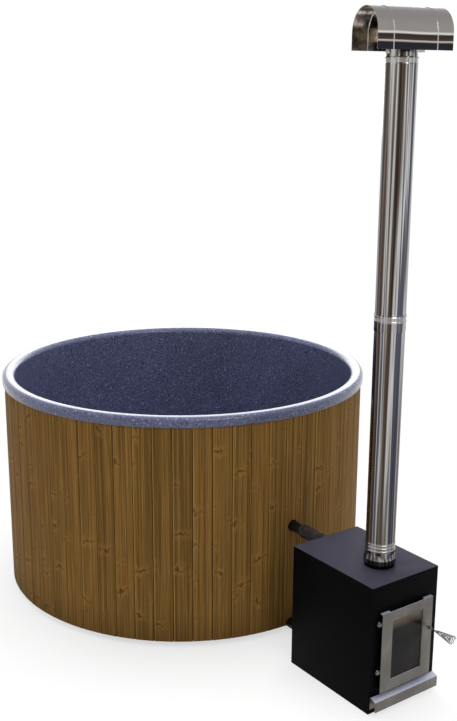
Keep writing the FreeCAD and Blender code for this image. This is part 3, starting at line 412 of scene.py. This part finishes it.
painted_edge_highlight = t.math("MULTIPLY", t.span(t.math("ABSOLUTE", t.math("ADD", ragged, 0.455)), 0.03, 0.008),
                   t.span(broad, 0.3, 0.6, 0.35, 0.9))
tone = t.mix(t.math("MULTIPLY", painted_edge_highlight, 0.75), tone, linear(158, 126, 68))
joint = t.span(t.math("ABSOLUTE", across), 0.476, 0.497)
tone = t.mix(t.math("MULTIPLY", joint, 0.8), tone, linear(34, 22, 9))
# Darker towards the bottom of the boards.
darker_toward_ground = t.span(xyz["Z"], 0.16, 0.02)
tone = t.mix(t.math("MULTIPLY", darker_toward_ground, 0.3), tone, linear(52, 36, 17))
t.put(shader.inputs["Base Color"], tone)
t.put(shader.inputs["Roughness"], t.span(fibre, 0.3, 0.7, 0.5, 0.68))
t.put(shader.inputs["Normal"], bump(t, t.math("ADD", fibre, t.math("MULTIPLY", late, 0.5)), 0.0006, 0.6))
print("board finish for", BOARDS, "boards")

# %% [markdown]
# ## Flue metal
# The flue is bright rolled stainless. Long streaks run straight up the pipe, so the noise is
# stretched along its height, and a ramp turns it into brown, bright and bluish bands, which are
# painted reflections of what a polished pipe mirrors. The lower pipe is duller, and the joints carry a painted
# bright glint.

# %% Flue finish
flue_finish, t, shader = finish("bright_flue", Metallic=1.0)
lines = use(t, streak, Where=here(t, (1, 1, 0.008)), Fine=420.0, Broad=42.0)
height = t.add("ShaderNodeSeparateXYZ", {"Vector": here(t)}).outputs["Z"]
heat = t.span(height, 1.5, 0.5)
# Painted reflections: the broad streaks become brown, bright and bluish bands.
tint = t.ramp(lines["Broad"], (0.36, linear(36, 28, 23)), (0.45, linear(84, 72, 62)),
              (0.5, linear(136, 132, 127)),
              (0.545, linear(206, 205, 204)), (0.58, linear(90, 92, 102)), (0.67, linear(44, 50, 74)))
tint = t.mix(t.math("MULTIPLY", heat, 0.3), tint, linear(66, 61, 58))
# Painted highlight: bright glints painted onto the bead joints at three heights.
for z, half in ((2.404, 0.010), (1.5, 0.014), (0.606, 0.022)):
    painted_joint_glint = t.span(t.math("ABSOLUTE", t.math("SUBTRACT", height, z)), half, half * 0.7, 0.0, 0.42)
    tint = t.mix(painted_joint_glint, tint, linear(198, 196, 194))
t.put(shader.inputs["Base Color"], t.mix(t.math("MULTIPLY", t.span(lines["Fine"], 0.42, 0.66), 0.35), tint,
                                         linear(80, 72, 66)))
t.put(shader.inputs["Roughness"], t.span(lines["Fine"], 0.3, 0.7, 0.1, 0.22))
t.put(shader.inputs["Normal"], bump(t, lines["Fine"], 0.0001, 0.3))

print("flue finish ready")

# %% [markdown]
# ## Hood metal
# The hood is bent from the same sheet. Its top is an even grey, and its upright foot has the
# dark and bright lines that polished sheet mirrors, painted on as reflections, so a ramp over the
# height gives both. In the hood's own directions, the swages are found by their place along it
# and get a painted highlight, and the inner skin by its radius, with painted patchy reflections.

# %% Hood finish
hood_finish, t, shader = finish("bright_hood", Metallic=1.0)
at = here(t)
height = t.add("ShaderNodeSeparateXYZ", {"Vector": at}).outputs["Z"]
wave = t.add("ShaderNodeTexNoise", {"Vector": at, "Scale": 7.0, "Detail": 1.0}).outputs["Fac"]
level = t.math("ADD", t.span(height, 2.436, 2.582), t.span(wave, 0, 1, -0.025, 0.025))
# Painted reflections: dark and bright bands up the hood's foot, an even grey on top.
bands = t.ramp(level, (0.0, linear(38, 42, 54)), (0.16, linear(40, 38, 40)), (0.2, linear(196, 190, 180)),
               (0.225, linear(64, 56, 50)), (0.34, linear(48, 44, 42)), (0.375, linear(222, 219, 213)),
               (0.42, linear(142, 137, 133)), (1.0, linear(124, 122, 122)))
bent = t.add("ShaderNodeMapping", {"Vector": at, "Location": (0, -1.381, 2.495),
                                   "Rotation": (0, 0, math.radians(-12))}, vector_type="TEXTURE").outputs[0]
bent = t.add("ShaderNodeSeparateXYZ", {"Vector": bent}).outputs
# Painted highlight: a pale line along each swage.
swage_highlight = t.span(t.math("ABSOLUTE", t.math("SUBTRACT", t.math("ABSOLUTE", bent["X"]), 0.087)), 0.0028, 0.0012)
swage_highlight = t.math("MULTIPLY", swage_highlight, t.span(level, 0.55, 0.42, 0.05, 0.75))
bands = t.mix(swage_highlight, bands, linear(204, 199, 192))
above = t.math("MAXIMUM", bent["Z"], 0.0)
from_axis = t.math("SQRT", t.math("ADD", t.math("MULTIPLY", bent["Y"], bent["Y"]),
                                  t.math("MULTIPLY", above, above)))
# Painted reflection: pale and dark patches on the hood's inner skin.
inner = t.mix(use(t, blotch, Where=at, Scale=36.0)["Mask"], linear(104, 100, 97), linear(226, 214, 198))
bands = t.mix(t.math("LESS_THAN", from_axis, 0.0845), bands, inner)
t.put(shader.inputs["Base Color"], bands)
t.put(shader.inputs["Roughness"], t.span(wave, 0.3, 0.7, 0.16, 0.26))

print("hood finish ready")

# %% [markdown]
# ## Brushed sheet, wire and zinc
# The door and the drawer's lip are brushed along their length. Faces that look up are paler
# and less metallic, to match the photograph: a painted sheen of the light from above. The handle is drawn wire,
# and the hidden hoops are zinc.

# %% Brushed, wire and zinc finishes
brushed_finish, t, shader = finish("brushed_sheet", Metallic=1.0)
lines = use(t, streak, Where=here(t, (0.03, 1, 1)), Fine=1400.0, Broad=60.0)
cloud = use(t, blotch, Where=here(t), Scale=9.0)["Mask"]
sheet = t.mix(cloud, linear(100, 97, 93), linear(120, 117, 112))
sheet = t.mix(t.math("MULTIPLY", t.span(lines["Fine"], 0.35, 0.7), 0.3), sheet, linear(84, 80, 75))
facing = t.add("ShaderNodeSeparateXYZ", {"Vector": t.add("ShaderNodeTexCoord").outputs["Normal"]}).outputs["Z"]
# Painted sheen: faces that look up are made paler and less metallic, as if lit from above.
upward = t.span(facing, 0.3, 0.85)
t.put(shader.inputs["Base Color"], t.mix(t.math("MULTIPLY", upward, 0.85), sheet, linear(186, 190, 210)))
t.put(shader.inputs["Metallic"], t.span(upward, 0, 1, 1.0, 0.4))
t.put(shader.inputs["Roughness"], t.span(lines["Fine"], 0.3, 0.7, 0.28, 0.42))
t.put(shader.inputs["Normal"], bump(t, lines["Fine"], 0.00008, 0.5))

wire_finish, t, shader = finish("bright_wire", Metallic=1.0)
rub = use(t, blotch, Where=here(t), Scale=160.0)["Mask"]
t.put(shader.inputs["Base Color"], t.mix(rub, linear(150, 147, 143), linear(92, 90, 87)))
t.put(shader.inputs["Roughness"], t.span(rub, 0, 1, 0.14, 0.3))

zinc_finish, t, shader = finish("galvanised_band", Metallic=1.0)
spangle = t.add("ShaderNodeTexVoronoi", {"Vector": here(t), "Scale": 90.0}).outputs["Color"]
t.put(shader.inputs["Base Color"], t.mix(0.25, linear(150, 152, 154), spangle, "SOFT_LIGHT"))
t.put(shader.inputs["Roughness"], t.span(use(t, blotch, Where=here(t), Scale=20.0)["Mask"], 0, 1, 0.35, 0.5))

print("brushed, wire and zinc finishes ready")

# %% [markdown]
# ## Stove paint, soot and iron
# The stove wears a heat-proof black, made paler and bluish on what looks up, to match the
# photograph: a painted sheen of the light from above, broken up by blotches. Inside it is sooty sheet and a
# cast grate, whose skin is rough from the sand of its mould.

# %% Paint, soot, iron and clamp finishes
paint_finish, t, shader = finish("stove_black", Specular_IOR_Level=0.02)
at = here(t)
dust_and_sheen = use(t, blotch, Where=at, Scale=5.0)["Mask"]
peel = use(t, speckle, Where=at, Size=0.0012, Amount=0.5)
coat = t.mix(t.math("MULTIPLY", dust_and_sheen, 0.5), linear(5, 5, 6), linear(10, 10, 13))
facing = t.add("ShaderNodeSeparateXYZ", {"Vector": t.add("ShaderNodeTexCoord").outputs["Normal"]}).outputs["Z"]
# Painted sheen: faces that look up are mixed to a pale bluish grey, as the sky's light on them looks.
painted_top_sheen = t.math("MULTIPLY", t.span(facing, 0.5, 0.95), t.span(dust_and_sheen, 0, 1, 0.75, 1.0))
t.put(shader.inputs["Base Color"], t.mix(painted_top_sheen, coat, linear(60, 59, 70)))
t.put(shader.inputs["Roughness"], t.span(dust_and_sheen, 0, 1, 0.42, 0.55))
t.put(shader.inputs["Normal"], bump(t, peel["Pale"], 0.0001, 0.35))

soot_finish, t, shader = finish("sooty_steel", Metallic=0.2)
soot = use(t, blotch, Where=here(t), Scale=14.0)["Mask"]
t.put(shader.inputs["Base Color"], t.mix(soot, linear(22, 20, 18), linear(58, 52, 46)))
t.put(shader.inputs["Roughness"], t.span(soot, 0, 1, 0.95, 0.7))

iron_finish, t, shader = finish("raw_iron", Metallic=0.6)
cast = use(t, speckle, Where=here(t), Size=0.004, Amount=0.5)
t.put(shader.inputs["Base Color"], t.mix(cast["Pale"], linear(44, 42, 41), linear(70, 66, 62)))
t.put(shader.inputs["Roughness"], t.span(cast["Dark"], 0, 1, 0.6, 0.8))
t.put(shader.inputs["Normal"], bump(t, cast["Pale"], 0.0005, 0.6))

dull_finish, t, shader = finish("dull_clamp_band", Metallic=0.8)
film = use(t, blotch, Where=here(t), Scale=60.0)["Mask"]
t.put(shader.inputs["Base Color"], t.mix(film, linear(50, 47, 48), linear(84, 80, 80)))
t.put(shader.inputs["Roughness"], t.span(film, 0, 1, 0.4, 0.6))

print("paint, soot, iron and clamp finishes ready")

# %% [markdown]
# ## Rubber, plastic, rope, sawn wood and glass
# The smaller finishes each have one pattern of their own: a bloom on rubber, scuffs on pipe,
# a braid on the seal rope, saw marks on the bearers, and smoke on the window, with a painted
# brown reflection near its top.

# %% Rubber, plastic, rope, sawn and glass finishes
rubber_finish, t, shader = finish("hose_rubber", Specular_IOR_Level=0.2)
bloom = use(t, blotch, Where=here(t), Scale=26.0)["Mask"]
t.put(shader.inputs["Base Color"], t.mix(bloom, linear(32, 28, 29), linear(56, 50, 52)))
t.put(shader.inputs["Roughness"], t.span(bloom, 0, 1, 0.5, 0.7))

plastic_finish, t, shader = finish("black_pipe_plastic", Specular_IOR_Level=0.15)
scuff = use(t, blotch, Where=here(t), Scale=40.0)["Mask"]
t.put(shader.inputs["Base Color"], t.mix(scuff, linear(10, 10, 11), linear(20, 19, 20)))
t.put(shader.inputs["Roughness"], t.span(scuff, 0, 1, 0.38, 0.55))

rope_finish, t, shader = finish("glass_rope")
braid = t.add("ShaderNodeTexWave", {"Vector": here(t), "Scale": 180.0, "Distortion": 2.0}).outputs["Fac"]
t.put(shader.inputs["Base Color"], t.mix(braid, linear(98, 94, 88), linear(146, 141, 132)))
t.put(shader.inputs["Roughness"], t.span(braid, 0, 1, 0.8, 0.95))

sawn_finish, t, shader = finish("sawn_bearer")
saw = t.add("ShaderNodeTexNoise", {"Vector": here(t, (3, 60, 60)), "Scale": 2.0, "Detail": 4.0}).outputs["Fac"]
t.put(shader.inputs["Base Color"], t.mix(saw, linear(96, 86, 60), linear(142, 128, 92)))
t.put(shader.inputs["Roughness"], t.span(saw, 0, 1, 0.75, 0.92))

glass_finish, t, shader = finish("smoked_glass", Roughness=0.06, IOR=1.47, Transmission_Weight=0.15,
                                 Specular_IOR_Level=0.05)
smoke = t.math("MULTIPLY", use(t, blotch, Where=here(t, (1, 1, 0.6)), Scale=11.0)["Mask"], 0.8)
# Painted reflection: the top of the window is mixed to a pale brown.
painted_top_reflection = t.span(t.add("ShaderNodeSeparateXYZ", {"Vector": here(t)}).outputs["Z"], 0.33, 0.37)
smoked = t.mix(smoke, linear(14, 15, 17), linear(44, 40, 37))
t.put(shader.inputs["Base Color"], t.mix(t.math("MULTIPLY", painted_top_reflection, 0.85), smoked, linear(112, 100, 86)))

print("finishes:", [m.name for m in bpy.data.materials if m.use_nodes])

# %% [markdown]
# ## Dressing the measured pieces
# Flat plates, clamps, pins and fittings are right as they were measured. Each keeps its shape
# and its place and takes the finish of the material that it is made of.

# %% Dress the carried-over nodes
wear(zinc_finish, "hoop_lower", "hoop_middle", "hoop_upper")
wear(dull_finish, "upper_clamps", "lower_clamps")
wear(plastic_finish, "upper_nut", "upper_strainer", "lower_outlet", "lower_strainer",
     "drain_sump", "drain_pipe", "drain_seat")
wear(rubber_finish, "upper_gasket", "lower_gasket", "drain_gasket", "drain_plug")
wear(paint_finish, "latch_keeper", "hinge_brackets")
wear(soot_finish, "firebox", "ash_bay", "baffle", "baffle_rests")
wear(iron_finish, "grate")
wear(brushed_finish, "seal_channel", "glass_clips", "door_lugs", "hinge_pins", "ash_pan", "latch_tongue")
wear(glass_finish, "door_glass")
wear(rope_finish, "door_seal", "glass_gasket")
wear(wire_finish, "latch_spindle")
wear(hood_finish, "cap_straps")
print("finishes are on the carried-over nodes")

# %% [markdown]
# ## Tools for turned and grown pieces
# Pipes, rims and hoses are all bodies of revolution. One outline, with its corners rounded
# as a bender or a mould would leave them, is carried round an axis. Where something repeats
# or follows a line, a small Geometry Nodes tree grows it, and the result becomes plain mesh.
# Sharp sheet is copied from the measured piece, and a small bevel eases its edges.

# %% Turning
def rounded_outline(points, steps=6):
    """Corners are (radius, height), with a third value where the corner is rounded to an arc."""
    out = []
    for i, corner in enumerate(points):
        here_is = Vector(corner[:2])
        if len(corner) < 3:
            out.append(here_is)
            continue
        before = (Vector(points[i - 1][:2]) - here_is).normalized()
        after = (Vector(points[(i + 1) % len(points)][:2]) - here_is).normalized()
        half = before.angle(after) / 2
        centre = here_is + (before + after).normalized() * corner[2] / math.sin(half)
        start = here_is + before * corner[2] / math.tan(half) - centre
        end = here_is + after * corner[2] / math.tan(half) - centre
        for k in range(steps + 1):
            share = start.lerp(end, k / steps).normalized() * corner[2]
            out.append(centre + share)
    return out


def as_mesh(name, verts, faces, crease=35):
    mesh = bpy.data.meshes.new(name)
    mesh.from_pydata(verts, [], faces)
    shape = bmesh.new()
    shape.from_mesh(mesh)
    bmesh.ops.remove_doubles(shape, verts=shape.verts, dist=1e-6)
    bmesh.ops.recalc_face_normals(shape, faces=shape.faces)
    shape.to_mesh(mesh)
    shape.free()
    for face in mesh.polygons:
        face.use_smooth = True
    mesh.set_sharp_from_angle(angle=math.radians(crease))
    return mesh


def turned(name, points, at=(0, 0, 0), lay="Z", steps=128, rounds=6):
    """Closed outline carried round the upright axis, or round the axis from the tub to the stove."""
    outline = rounded_outline(points, rounds)
    verts = []
    for k in range(steps):
        c, s = math.cos(2 * math.pi * k / steps), math.sin(2 * math.pi * k / steps)
        for r, h in outline:
            spot = (r * c, r * s, h) if lay == "Z" else (r * c, -h, r * s)
            verts.append(tuple(a + b for a, b in zip(at, spot)))
    n = len(outline)
    faces = [(k * n + i, (k + 1) % steps * n + i, (k + 1) % steps * n + (i + 1) % n, k * n + (i + 1) % n)
             for k in range(steps) for i in range(n)]
    return as_mesh(name, verts, faces)


print("turning is ready")


# %% [markdown]
# ## Settling, growing and easing
# Every new piece goes in the same way: it is linked, takes its finish, rides on a body of the
# frame, and hides the measured nodes it stands for. One helper does this for all of them.

# %% Settling, growing and easing
def settle(name, mesh, material, slot, *nodes, body="tub_and_stove"):
    """A new piece goes into the scene, takes a finish, and stands for CAD nodes."""
    piece = bpy.data.objects.new(name, mesh)
    scene.collection.objects.link(piece)
    if material:
        mesh.materials.clear()
        mesh.materials.append(material)
    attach(piece, body)
    if nodes:
        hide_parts(*nodes)
    print(name, len(mesh.polygons), "faces")
    return piece


def geometry_tree(name, inputs):
    tree = bpy.data.node_groups.new(name, "GeometryNodeTree")
    for label, kind in inputs:
        tree.interface.new_socket(label, in_out="INPUT", socket_type=kind)
    tree.interface.new_socket("Geometry", in_out="OUTPUT", socket_type="NodeSocketGeometry")
    hand = Tree(tree)
    return tree, hand, hand.add("NodeGroupInput").outputs, hand.add("NodeGroupOutput").inputs


def grown(name, tree, **values):
    """Runs a tree once and gives its result as plain mesh."""
    holder = bpy.data.objects.new(name + "_maker", bpy.data.meshes.new(name + "_maker"))
    scene.collection.objects.link(holder)
    maker = holder.modifiers.new(name, "NODES")
    maker.node_group = tree
    for item in tree.interface.items_tree:
        if item.in_out == "INPUT":
            maker[item.identifier] = values[item.name]
    holder.update_tag()
    result = bpy.data.meshes.new_from_object(holder.evaluated_get(bpy.context.evaluated_depsgraph_get()))
    bpy.data.objects.remove(holder)
    result.name = name
    return result


def eased(node, material, slot, width, body="tub_and_stove"):
    """A copy of a sharp CAD node whose edges are broken by a small bevel."""
    shape = bmesh.new()
    shape.from_mesh(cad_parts[node].data)
    bmesh.ops.remove_doubles(shape, verts=shape.verts, dist=1e-6)
    bmesh.ops.dissolve_limit(shape, angle_limit=math.radians(0.5), verts=shape.verts, edges=shape.edges)
    sharp = [e for e in shape.edges if len(e.link_faces) == 2 and e.calc_face_angle(0) > math.radians(40)]
    bmesh.ops.bevel(shape, geom=sharp, offset=width, segments=2, profile=0.6, affect="EDGES",
                    clamp_overlap=True)
    mesh = bpy.data.meshes.new(node + "_eased")
    shape.to_mesh(mesh)
    shape.free()
    if "custom_normal" in mesh.attributes:
        mesh.attributes.remove(mesh.attributes["custom_normal"])
    for face in mesh.polygons:
        face.use_smooth = True
    mesh.set_sharp_from_angle(angle=math.radians(35))
    return settle(node + "_eased", mesh, material, slot, node, body=body)


INT, MATERIAL = "NodeSocketInt", "NodeSocketMaterial"
MM = 0.001
print("settling, growing and easing are ready")

# %% [markdown]
# ## Shell and rim
# The shell is one moulding: a foot well, a bench all round, a wall that leans out a little,
# and a rim that is rolled over the boards. Turning one outline gives all of them, and the
# roundings are those of a mould that has to let its casting go.

# %% Shell
shell_outline = [
    (0, 70), (520.2, 70, 40), (520.2, 430, 30), (776, 430, 40), (800, 1027, 24), (858.5, 1027, 19),
    (858.5, 984, 3), (851.5, 984, 3), (851.5, 1012, 4), (807, 1012, 4), (783, 423, 30), (527.2, 423, 20),
    (527.2, 63, 30), (0, 63)]
settle("shell_moulding", turned("shell_moulding", [tuple(v * MM for v in p) for p in shell_outline], steps=256,
                                rounds=8), shell_finish, "shell_plastic", "tub_well", "tub_bench", "tub_wall")

# %% [markdown]
# ## Boards
# The coat is a ring of equal boards, so one board is drawn as a rounded strip, stood up,
# and set out by its number round the tub. Real boards are never quite level with their
# neighbours, so each stands out by a fraction of a millimetre of its own. Holes for the
# two water pipes and the drain are bored through the finished ring.

# %% Ring of boards
tree, t, ins, outs = geometry_tree("board_ring", [
    ("Count", INT), ("Face", FLOAT), ("Width", FLOAT), ("Thickness", FLOAT), ("Low", FLOAT), ("Top", FLOAT),
    ("Edge", FLOAT), ("Unevenness", FLOAT), ("Hole", FLOAT), ("Pipe High", FLOAT), ("Pipe Low", FLOAT),
    ("Drain Y", FLOAT), ("Seed", INT), ("Finish", MATERIAL)])
section = t.add("GeometryNodeCurvePrimitiveQuadrilateral", {"Width": ins["Thickness"], "Height": ins["Width"]})
section = t.add("GeometryNodeFilletCurve", {"Curve": section.outputs[0], "Radius": ins["Edge"]}, mode="POLY")
t.put(section.inputs["Count"], 3)
inset = t.math("SUBTRACT", ins["Face"], t.math("MULTIPLY", ins["Thickness"], 0.5))
foot = t.add("ShaderNodeCombineXYZ", {"X": inset, "Z": ins["Low"]})
head = t.add("ShaderNodeCombineXYZ", {"X": inset, "Z": ins["Top"]})
line = t.add("GeometryNodeCurvePrimitiveLine", {"Start": foot.outputs[0], "End": head.outputs[0]})
board = t.add("GeometryNodeCurveToMesh", {"Curve": line.outputs[0], "Profile Curve": section.outputs[0],
                                          "Fill Caps": True})
places = t.add("GeometryNodePoints", {"Count": ins["Count"]})
number = t.add("GeometryNodeInputIndex").outputs[0]
angle = t.math("MULTIPLY", number, t.math("DIVIDE", 2 * math.pi, ins["Count"]))
turn = t.add("FunctionNodeEulerToRotation", {"Euler": t.add("ShaderNodeCombineXYZ", {"Z": angle}).outputs[0]})
ring = t.add("GeometryNodeInstanceOnPoints", {"Points": places.outputs[0], "Instance": board.outputs[0],
                                              "Rotation": turn.outputs[0]})
low_end = t.math("MULTIPLY", ins["Unevenness"], -1.0)
shift = t.add("FunctionNodeRandomValue", {2: low_end, 3: 0.0, "ID": number, "Seed": ins["Seed"]},
              data_type="FLOAT")
ring = t.add("GeometryNodeTranslateInstances", {
    "Instances": ring.outputs[0],
    "Translation": t.add("ShaderNodeCombineXYZ", {"X": shift.outputs[1]}).outputs[0], "Local Space": True})
solid = t.add("GeometryNodeRealizeInstances", {"Geometry": ring.outputs[0]})
bores = t.add("GeometryNodeJoinGeometry")
CLAD, PIPE_HIGH, PIPE_LOW = 0.850, 0.494, 0.032
for height, turn_by, spot in (("Pipe High", (math.pi / 2, 0, 0), {"Y": -CLAD}),
                              ("Pipe Low", (math.pi / 2, 0, 0), {"Y": -CLAD}),
                              ("Pipe Low", (0, math.pi / 2, 0), {"X": 0.84, "Y": ins["Drain Y"]})):
    drill = t.add("GeometryNodeMeshCylinder", {"Vertices": 40, "Radius": ins["Hole"], "Depth": 0.12})
    place = t.add("ShaderNodeCombineXYZ", {**spot, "Z": ins[height]})
    drill = t.add("GeometryNodeTransform", {"Geometry": drill.outputs[0], "Translation": place.outputs[0],
                                            "Rotation": turn_by})
    t.tree.links.new(drill.outputs[0], bores.inputs[0])
bored = t.add("GeometryNodeMeshBoolean", {"Mesh 1": solid.outputs[0], "Mesh 2": bores.outputs[0]},
              operation="DIFFERENCE")
dressed = t.add("GeometryNodeSetMaterial", {"Geometry": bored.outputs[0], "Material": ins["Finish"]})
t.put(outs["Geometry"], dressed.outputs[0])
half_turn = math.pi / BOARDS
boards = grown("boards", tree, Count=BOARDS, Face=CLAD * math.cos(half_turn) + 0.0004,
               Width=2 * CLAD * math.sin(half_turn) - 0.0016, Thickness=0.020, Low=0.025, Top=1.011,
               Edge=0.0042, Unevenness=0.0009, Hole=0.025, Seed=7, Finish=wood_finish,
               **{"Pipe High": PIPE_HIGH, "Pipe Low": PIPE_LOW, "Drain Y": CLAD * math.sin(4 * half_turn)})
for face in boards.polygons:
    face.use_smooth = True
boards.set_sharp_from_angle(angle=math.radians(40))
settle("boards", boards, None, "cladding_wood",
       "cladding_front", "cladding_right", "cladding_back", "cladding_left")

# %% [markdown]
# ## Flue
# A flue is slip-fitted: each pipe widens at its foot to a bell that goes over the piece
# below, and rolled beads stiffen the joints. The outlines follow the measured solids, with
# the beads drawn round as a rolling wheel leaves them.

# %% Flue pipes
def bead(radius, z, high=0.0023, half=0.0034):
    """Corners of one rolled bead, from low to high."""
    return [(radius, z - half, 0.0012), (radius + high, z, half * 0.72), (radius, z + half, 0.0012)]


FLUE = (0, -1.381, 0)
r, thin = 0.057, 0.0012
bell = 0.0625
lower = [(bell, 0.538, 0.001), (bell, 0.558, 0.006), (r, 0.578, 0.006),
         *bead(r, 0.593), *bead(r, 0.606), *bead(r, 0.619), (r, 1.515), (r - thin, 1.515),
         (r - thin, 0.5785), (bell - thin, 0.5585), (bell - thin, 0.538)]
settle("flue_lower_pipe", turned("flue_lower_pipe", lower, FLUE, steps=96, rounds=4), flue_finish,
       "flue_stainless", "flue_lower")
socket, slip = 0.0584, 0.0002
upper = [(socket, 1.452, 0.0006), *bead(socket, 1.492), *bead(socket, 1.509), (socket, 1.5162),
         (r, 1.520, 0.002), (r, 2.385), *bead(r, 2.392, 0.0016), (r, 2.410), (r - thin, 2.410),
         (r - thin, 1.5155), (r + slip, 1.5155), (r + slip, 1.452)]
settle("flue_upper_pipe", turned("flue_upper_pipe", upper, FLUE, steps=96, rounds=4), flue_finish,
       "flue_stainless", "flue_upper")
neck, ring = 0.0555, 0.0595
cap = [(neck, 2.350), (neck, 2.4101), (ring, 2.4101, 0.002), (ring, 2.416, 0.002), (neck, 2.416, 0.0015),
       (neck, 2.470), (neck - thin, 2.470), (neck - thin, 2.350)]
settle("cap_collar", turned("cap_collar", cap, FLUE, steps=96, rounds=4), flue_finish,
       "flue_stainless", "cap_spigot")
spigot = [(0.058, 0.484), (0.058, 0.574, 0.0012), (0.055, 0.574, 0.0012), (0.055, 0.484)]
settle("stove_collar", turned("stove_collar", spigot, FLUE, steps=96, rounds=4), paint_finish, "stove_black",
       "flue_spigot")

# %% [markdown]
# ## Hood
# The hood is one sheet bent to an arch over the flue's mouth, stiffened by two thin
# swages that go over it. It is laid out as a grid, along and across, so that the swages
# are a swelling of the sheet itself, and the sheet gets its thickness from a second skin.

# %% Hood
def hood_mesh(name, radius, sheet, axis_z, low_z, long, swages, turn_deg):
    lines = sorted({round(-long / 2 + long * k / 40, 5) for k in range(41)}
                   | {round(x + dx * MM, 5) for x in swages for dx in (-2.4, -1.6, -0.8, 0, 0.8, 1.6, 2.4)})
    across = [(-1, low_z + (axis_z - low_z) * k / 6) for k in range(6)]
    across += [math.pi * (1 - k / 48) for k in range(49)]
    across += [(1, axis_z - (axis_z - low_z) * (k + 1) / 6) for k in range(6)]
    verts, n = [], len(across)
    for skin in (0, sheet):
        for x in lines:
            swell = max((1.7 * MM * math.cos(min(abs(x - at) / (2.4 * MM), 1) * math.pi / 2) for at in swages))
            size = radius - skin + swell
            for spot in across:
                side, z = spot if isinstance(spot, tuple) else (math.cos(spot), axis_z + size * math.sin(spot))
                verts.append((x, side * size, z))
    m = len(lines)
    faces = []
    for skin in (0, 1):
        for i in range(m - 1):
            for k in range(n - 1):
                a = skin * m * n + i * n + k
                faces.append((a, a + 1, a + n + 1, a + n))
    half = m * n
    for i in range(m - 1):
        for k in (0, n - 1):
            a = i * n + k
            faces.append((a, a + n, a + n + half, a + half))
    for i in (0, m - 1):
        for k in range(n - 1):
            a = i * n + k
            faces.append((a, a + 1, a + 1 + half, a + half))
    spin = Matrix.Translation(FLUE) @ Matrix.Rotation(math.radians(turn_deg), 4, "Z")
    return as_mesh(name, [tuple(spin @ Vector(v)) for v in verts], faces, 50)


settle("hood_sheet", hood_mesh("hood_sheet", 0.085, 0.0015, 2.495, 2.436, 0.300, (-0.087, 0.087), -12),
       hood_finish, "flue_stainless", "cap_hood")

# %% [markdown]
# ## Hoses and pipes
# A water pipe of black plastic comes out of the boards, and a rubber sleeve joins it to the
# stove's stub. The sleeve is squeezed a little under each clamp and its ends are rounded.

# %% Sleeves
for level, z in (("upper", PIPE_HIGH), ("lower", PIPE_LOW)):
    at = (0, 0, z)
    sleeve = [(0.0221, 0.915), (0.0272, 0.915, 0.002), (0.0282, 0.922, 0.002), (0.0276, 0.930),
              (0.0276, 0.941), (0.0284, 0.947, 0.003), (0.0284, 1.029, 0.003), (0.0276, 1.036),
              (0.0276, 1.047), (0.0282, 1.055, 0.002), (0.0272, 1.062, 0.002), (0.0221, 1.062)]
    settle(f"{level}_sleeve", turned(f"{level}_sleeve", sleeve, at, "Y", 64, 4), rubber_finish, "hose_rubber",
           f"{level}_hose")
    stub = [(0.017, 0.996), (0.022, 0.996, 0.001), (0.022, 1.076), (0.017, 1.076)]
    settle(f"{level}_stub_pipe", turned(f"{level}_stub_pipe", stub, at, "Y", 64, 3), paint_finish,
           "stove_black", f"{level}_stub")
wall = 0.7786
nipple = [(0.017, wall - 0.008), (0.036, wall - 0.008, 0.002), (0.036, wall - 0.003, 0.001),
          (0.022, wall - 0.003), (0.022, 0.985, 0.001), (0.017, 0.985, 0.001)]
settle("upper_nipple", turned("upper_nipple", nipple, (0, 0, PIPE_HIGH), "Y", 64, 3), plastic_finish,
       "black_plastic", "upper_pipe")

# %% [markdown]
# ## Coil handle
# The handle stays cool because it is only wire, wound on a widening cone. A spiral gives
# the line, and a round section is carried along it, just as wire follows a former.

# %% Coil
tree, t, ins, outs = geometry_tree("wound_wire", [
    ("Turns", FLOAT), ("Start Radius", FLOAT), ("End Radius", FLOAT), ("Length", FLOAT), ("Wire", FLOAT),
    ("Place", VECTOR), ("Finish", MATERIAL)])
spiral = t.add("GeometryNodeCurveSpiral", {"Resolution": 40, "Rotations": ins["Turns"], "Height": ins["Length"],
                                           "Start Radius": ins["Start Radius"],
                                           "End Radius": ins["End Radius"]})
around = t.add("GeometryNodeCurvePrimitiveCircle", {"Resolution": 14, "Radius": ins["Wire"]})
wound = t.add("GeometryNodeCurveToMesh", {"Curve": spiral.outputs[0], "Profile Curve": around.outputs[0],
                                          "Fill Caps": True})
laid = t.add("GeometryNodeTransform", {"Geometry": wound.outputs[0], "Translation": ins["Place"],
                                       "Rotation": (math.pi / 2, 0, 0)})
plain = t.add("GeometryNodeRealizeInstances", {"Geometry": laid.outputs[0]})
dressed = t.add("GeometryNodeSetMaterial", {"Geometry": plain.outputs[0], "Material": ins["Finish"]})
t.put(outs["Geometry"], dressed.outputs[0])
coil = grown("coil_handle", tree, Turns=12.0, Length=0.084, Wire=0.0016, Place=(0.124, -1.5813, 0.281),
             Finish=wire_finish, **{"Start Radius": 0.00466, "End Radius": 0.017})
for face in coil.polygons:
    face.use_smooth = True
settle("coil_handle", coil, None, "coil_wire", "latch_handle", body="latch")

# %% [markdown]
# ## Folded sheet and sawn wood
# Sheet from a press brake and wood from a saw never have a razor edge. These pieces keep the
# measured shape, and only their edges are broken, so that each catches a thin line of light.

# %% Broken edges
eased("stove_casing", paint_finish, "stove_black", 0.0012)
eased("stove_front", paint_finish, "stove_black", 0.0008)
eased("door_frame", brushed_finish, "stainless_sheet", 0.0007, "door")
eased("ash_lip", brushed_finish, "stainless_sheet", 0.0004, "ash_drawer")
for bearer in ("front", "middle", "back"):
    eased(f"bearer_{bearer}", sawn_finish, "bearer_wood", 0.003)
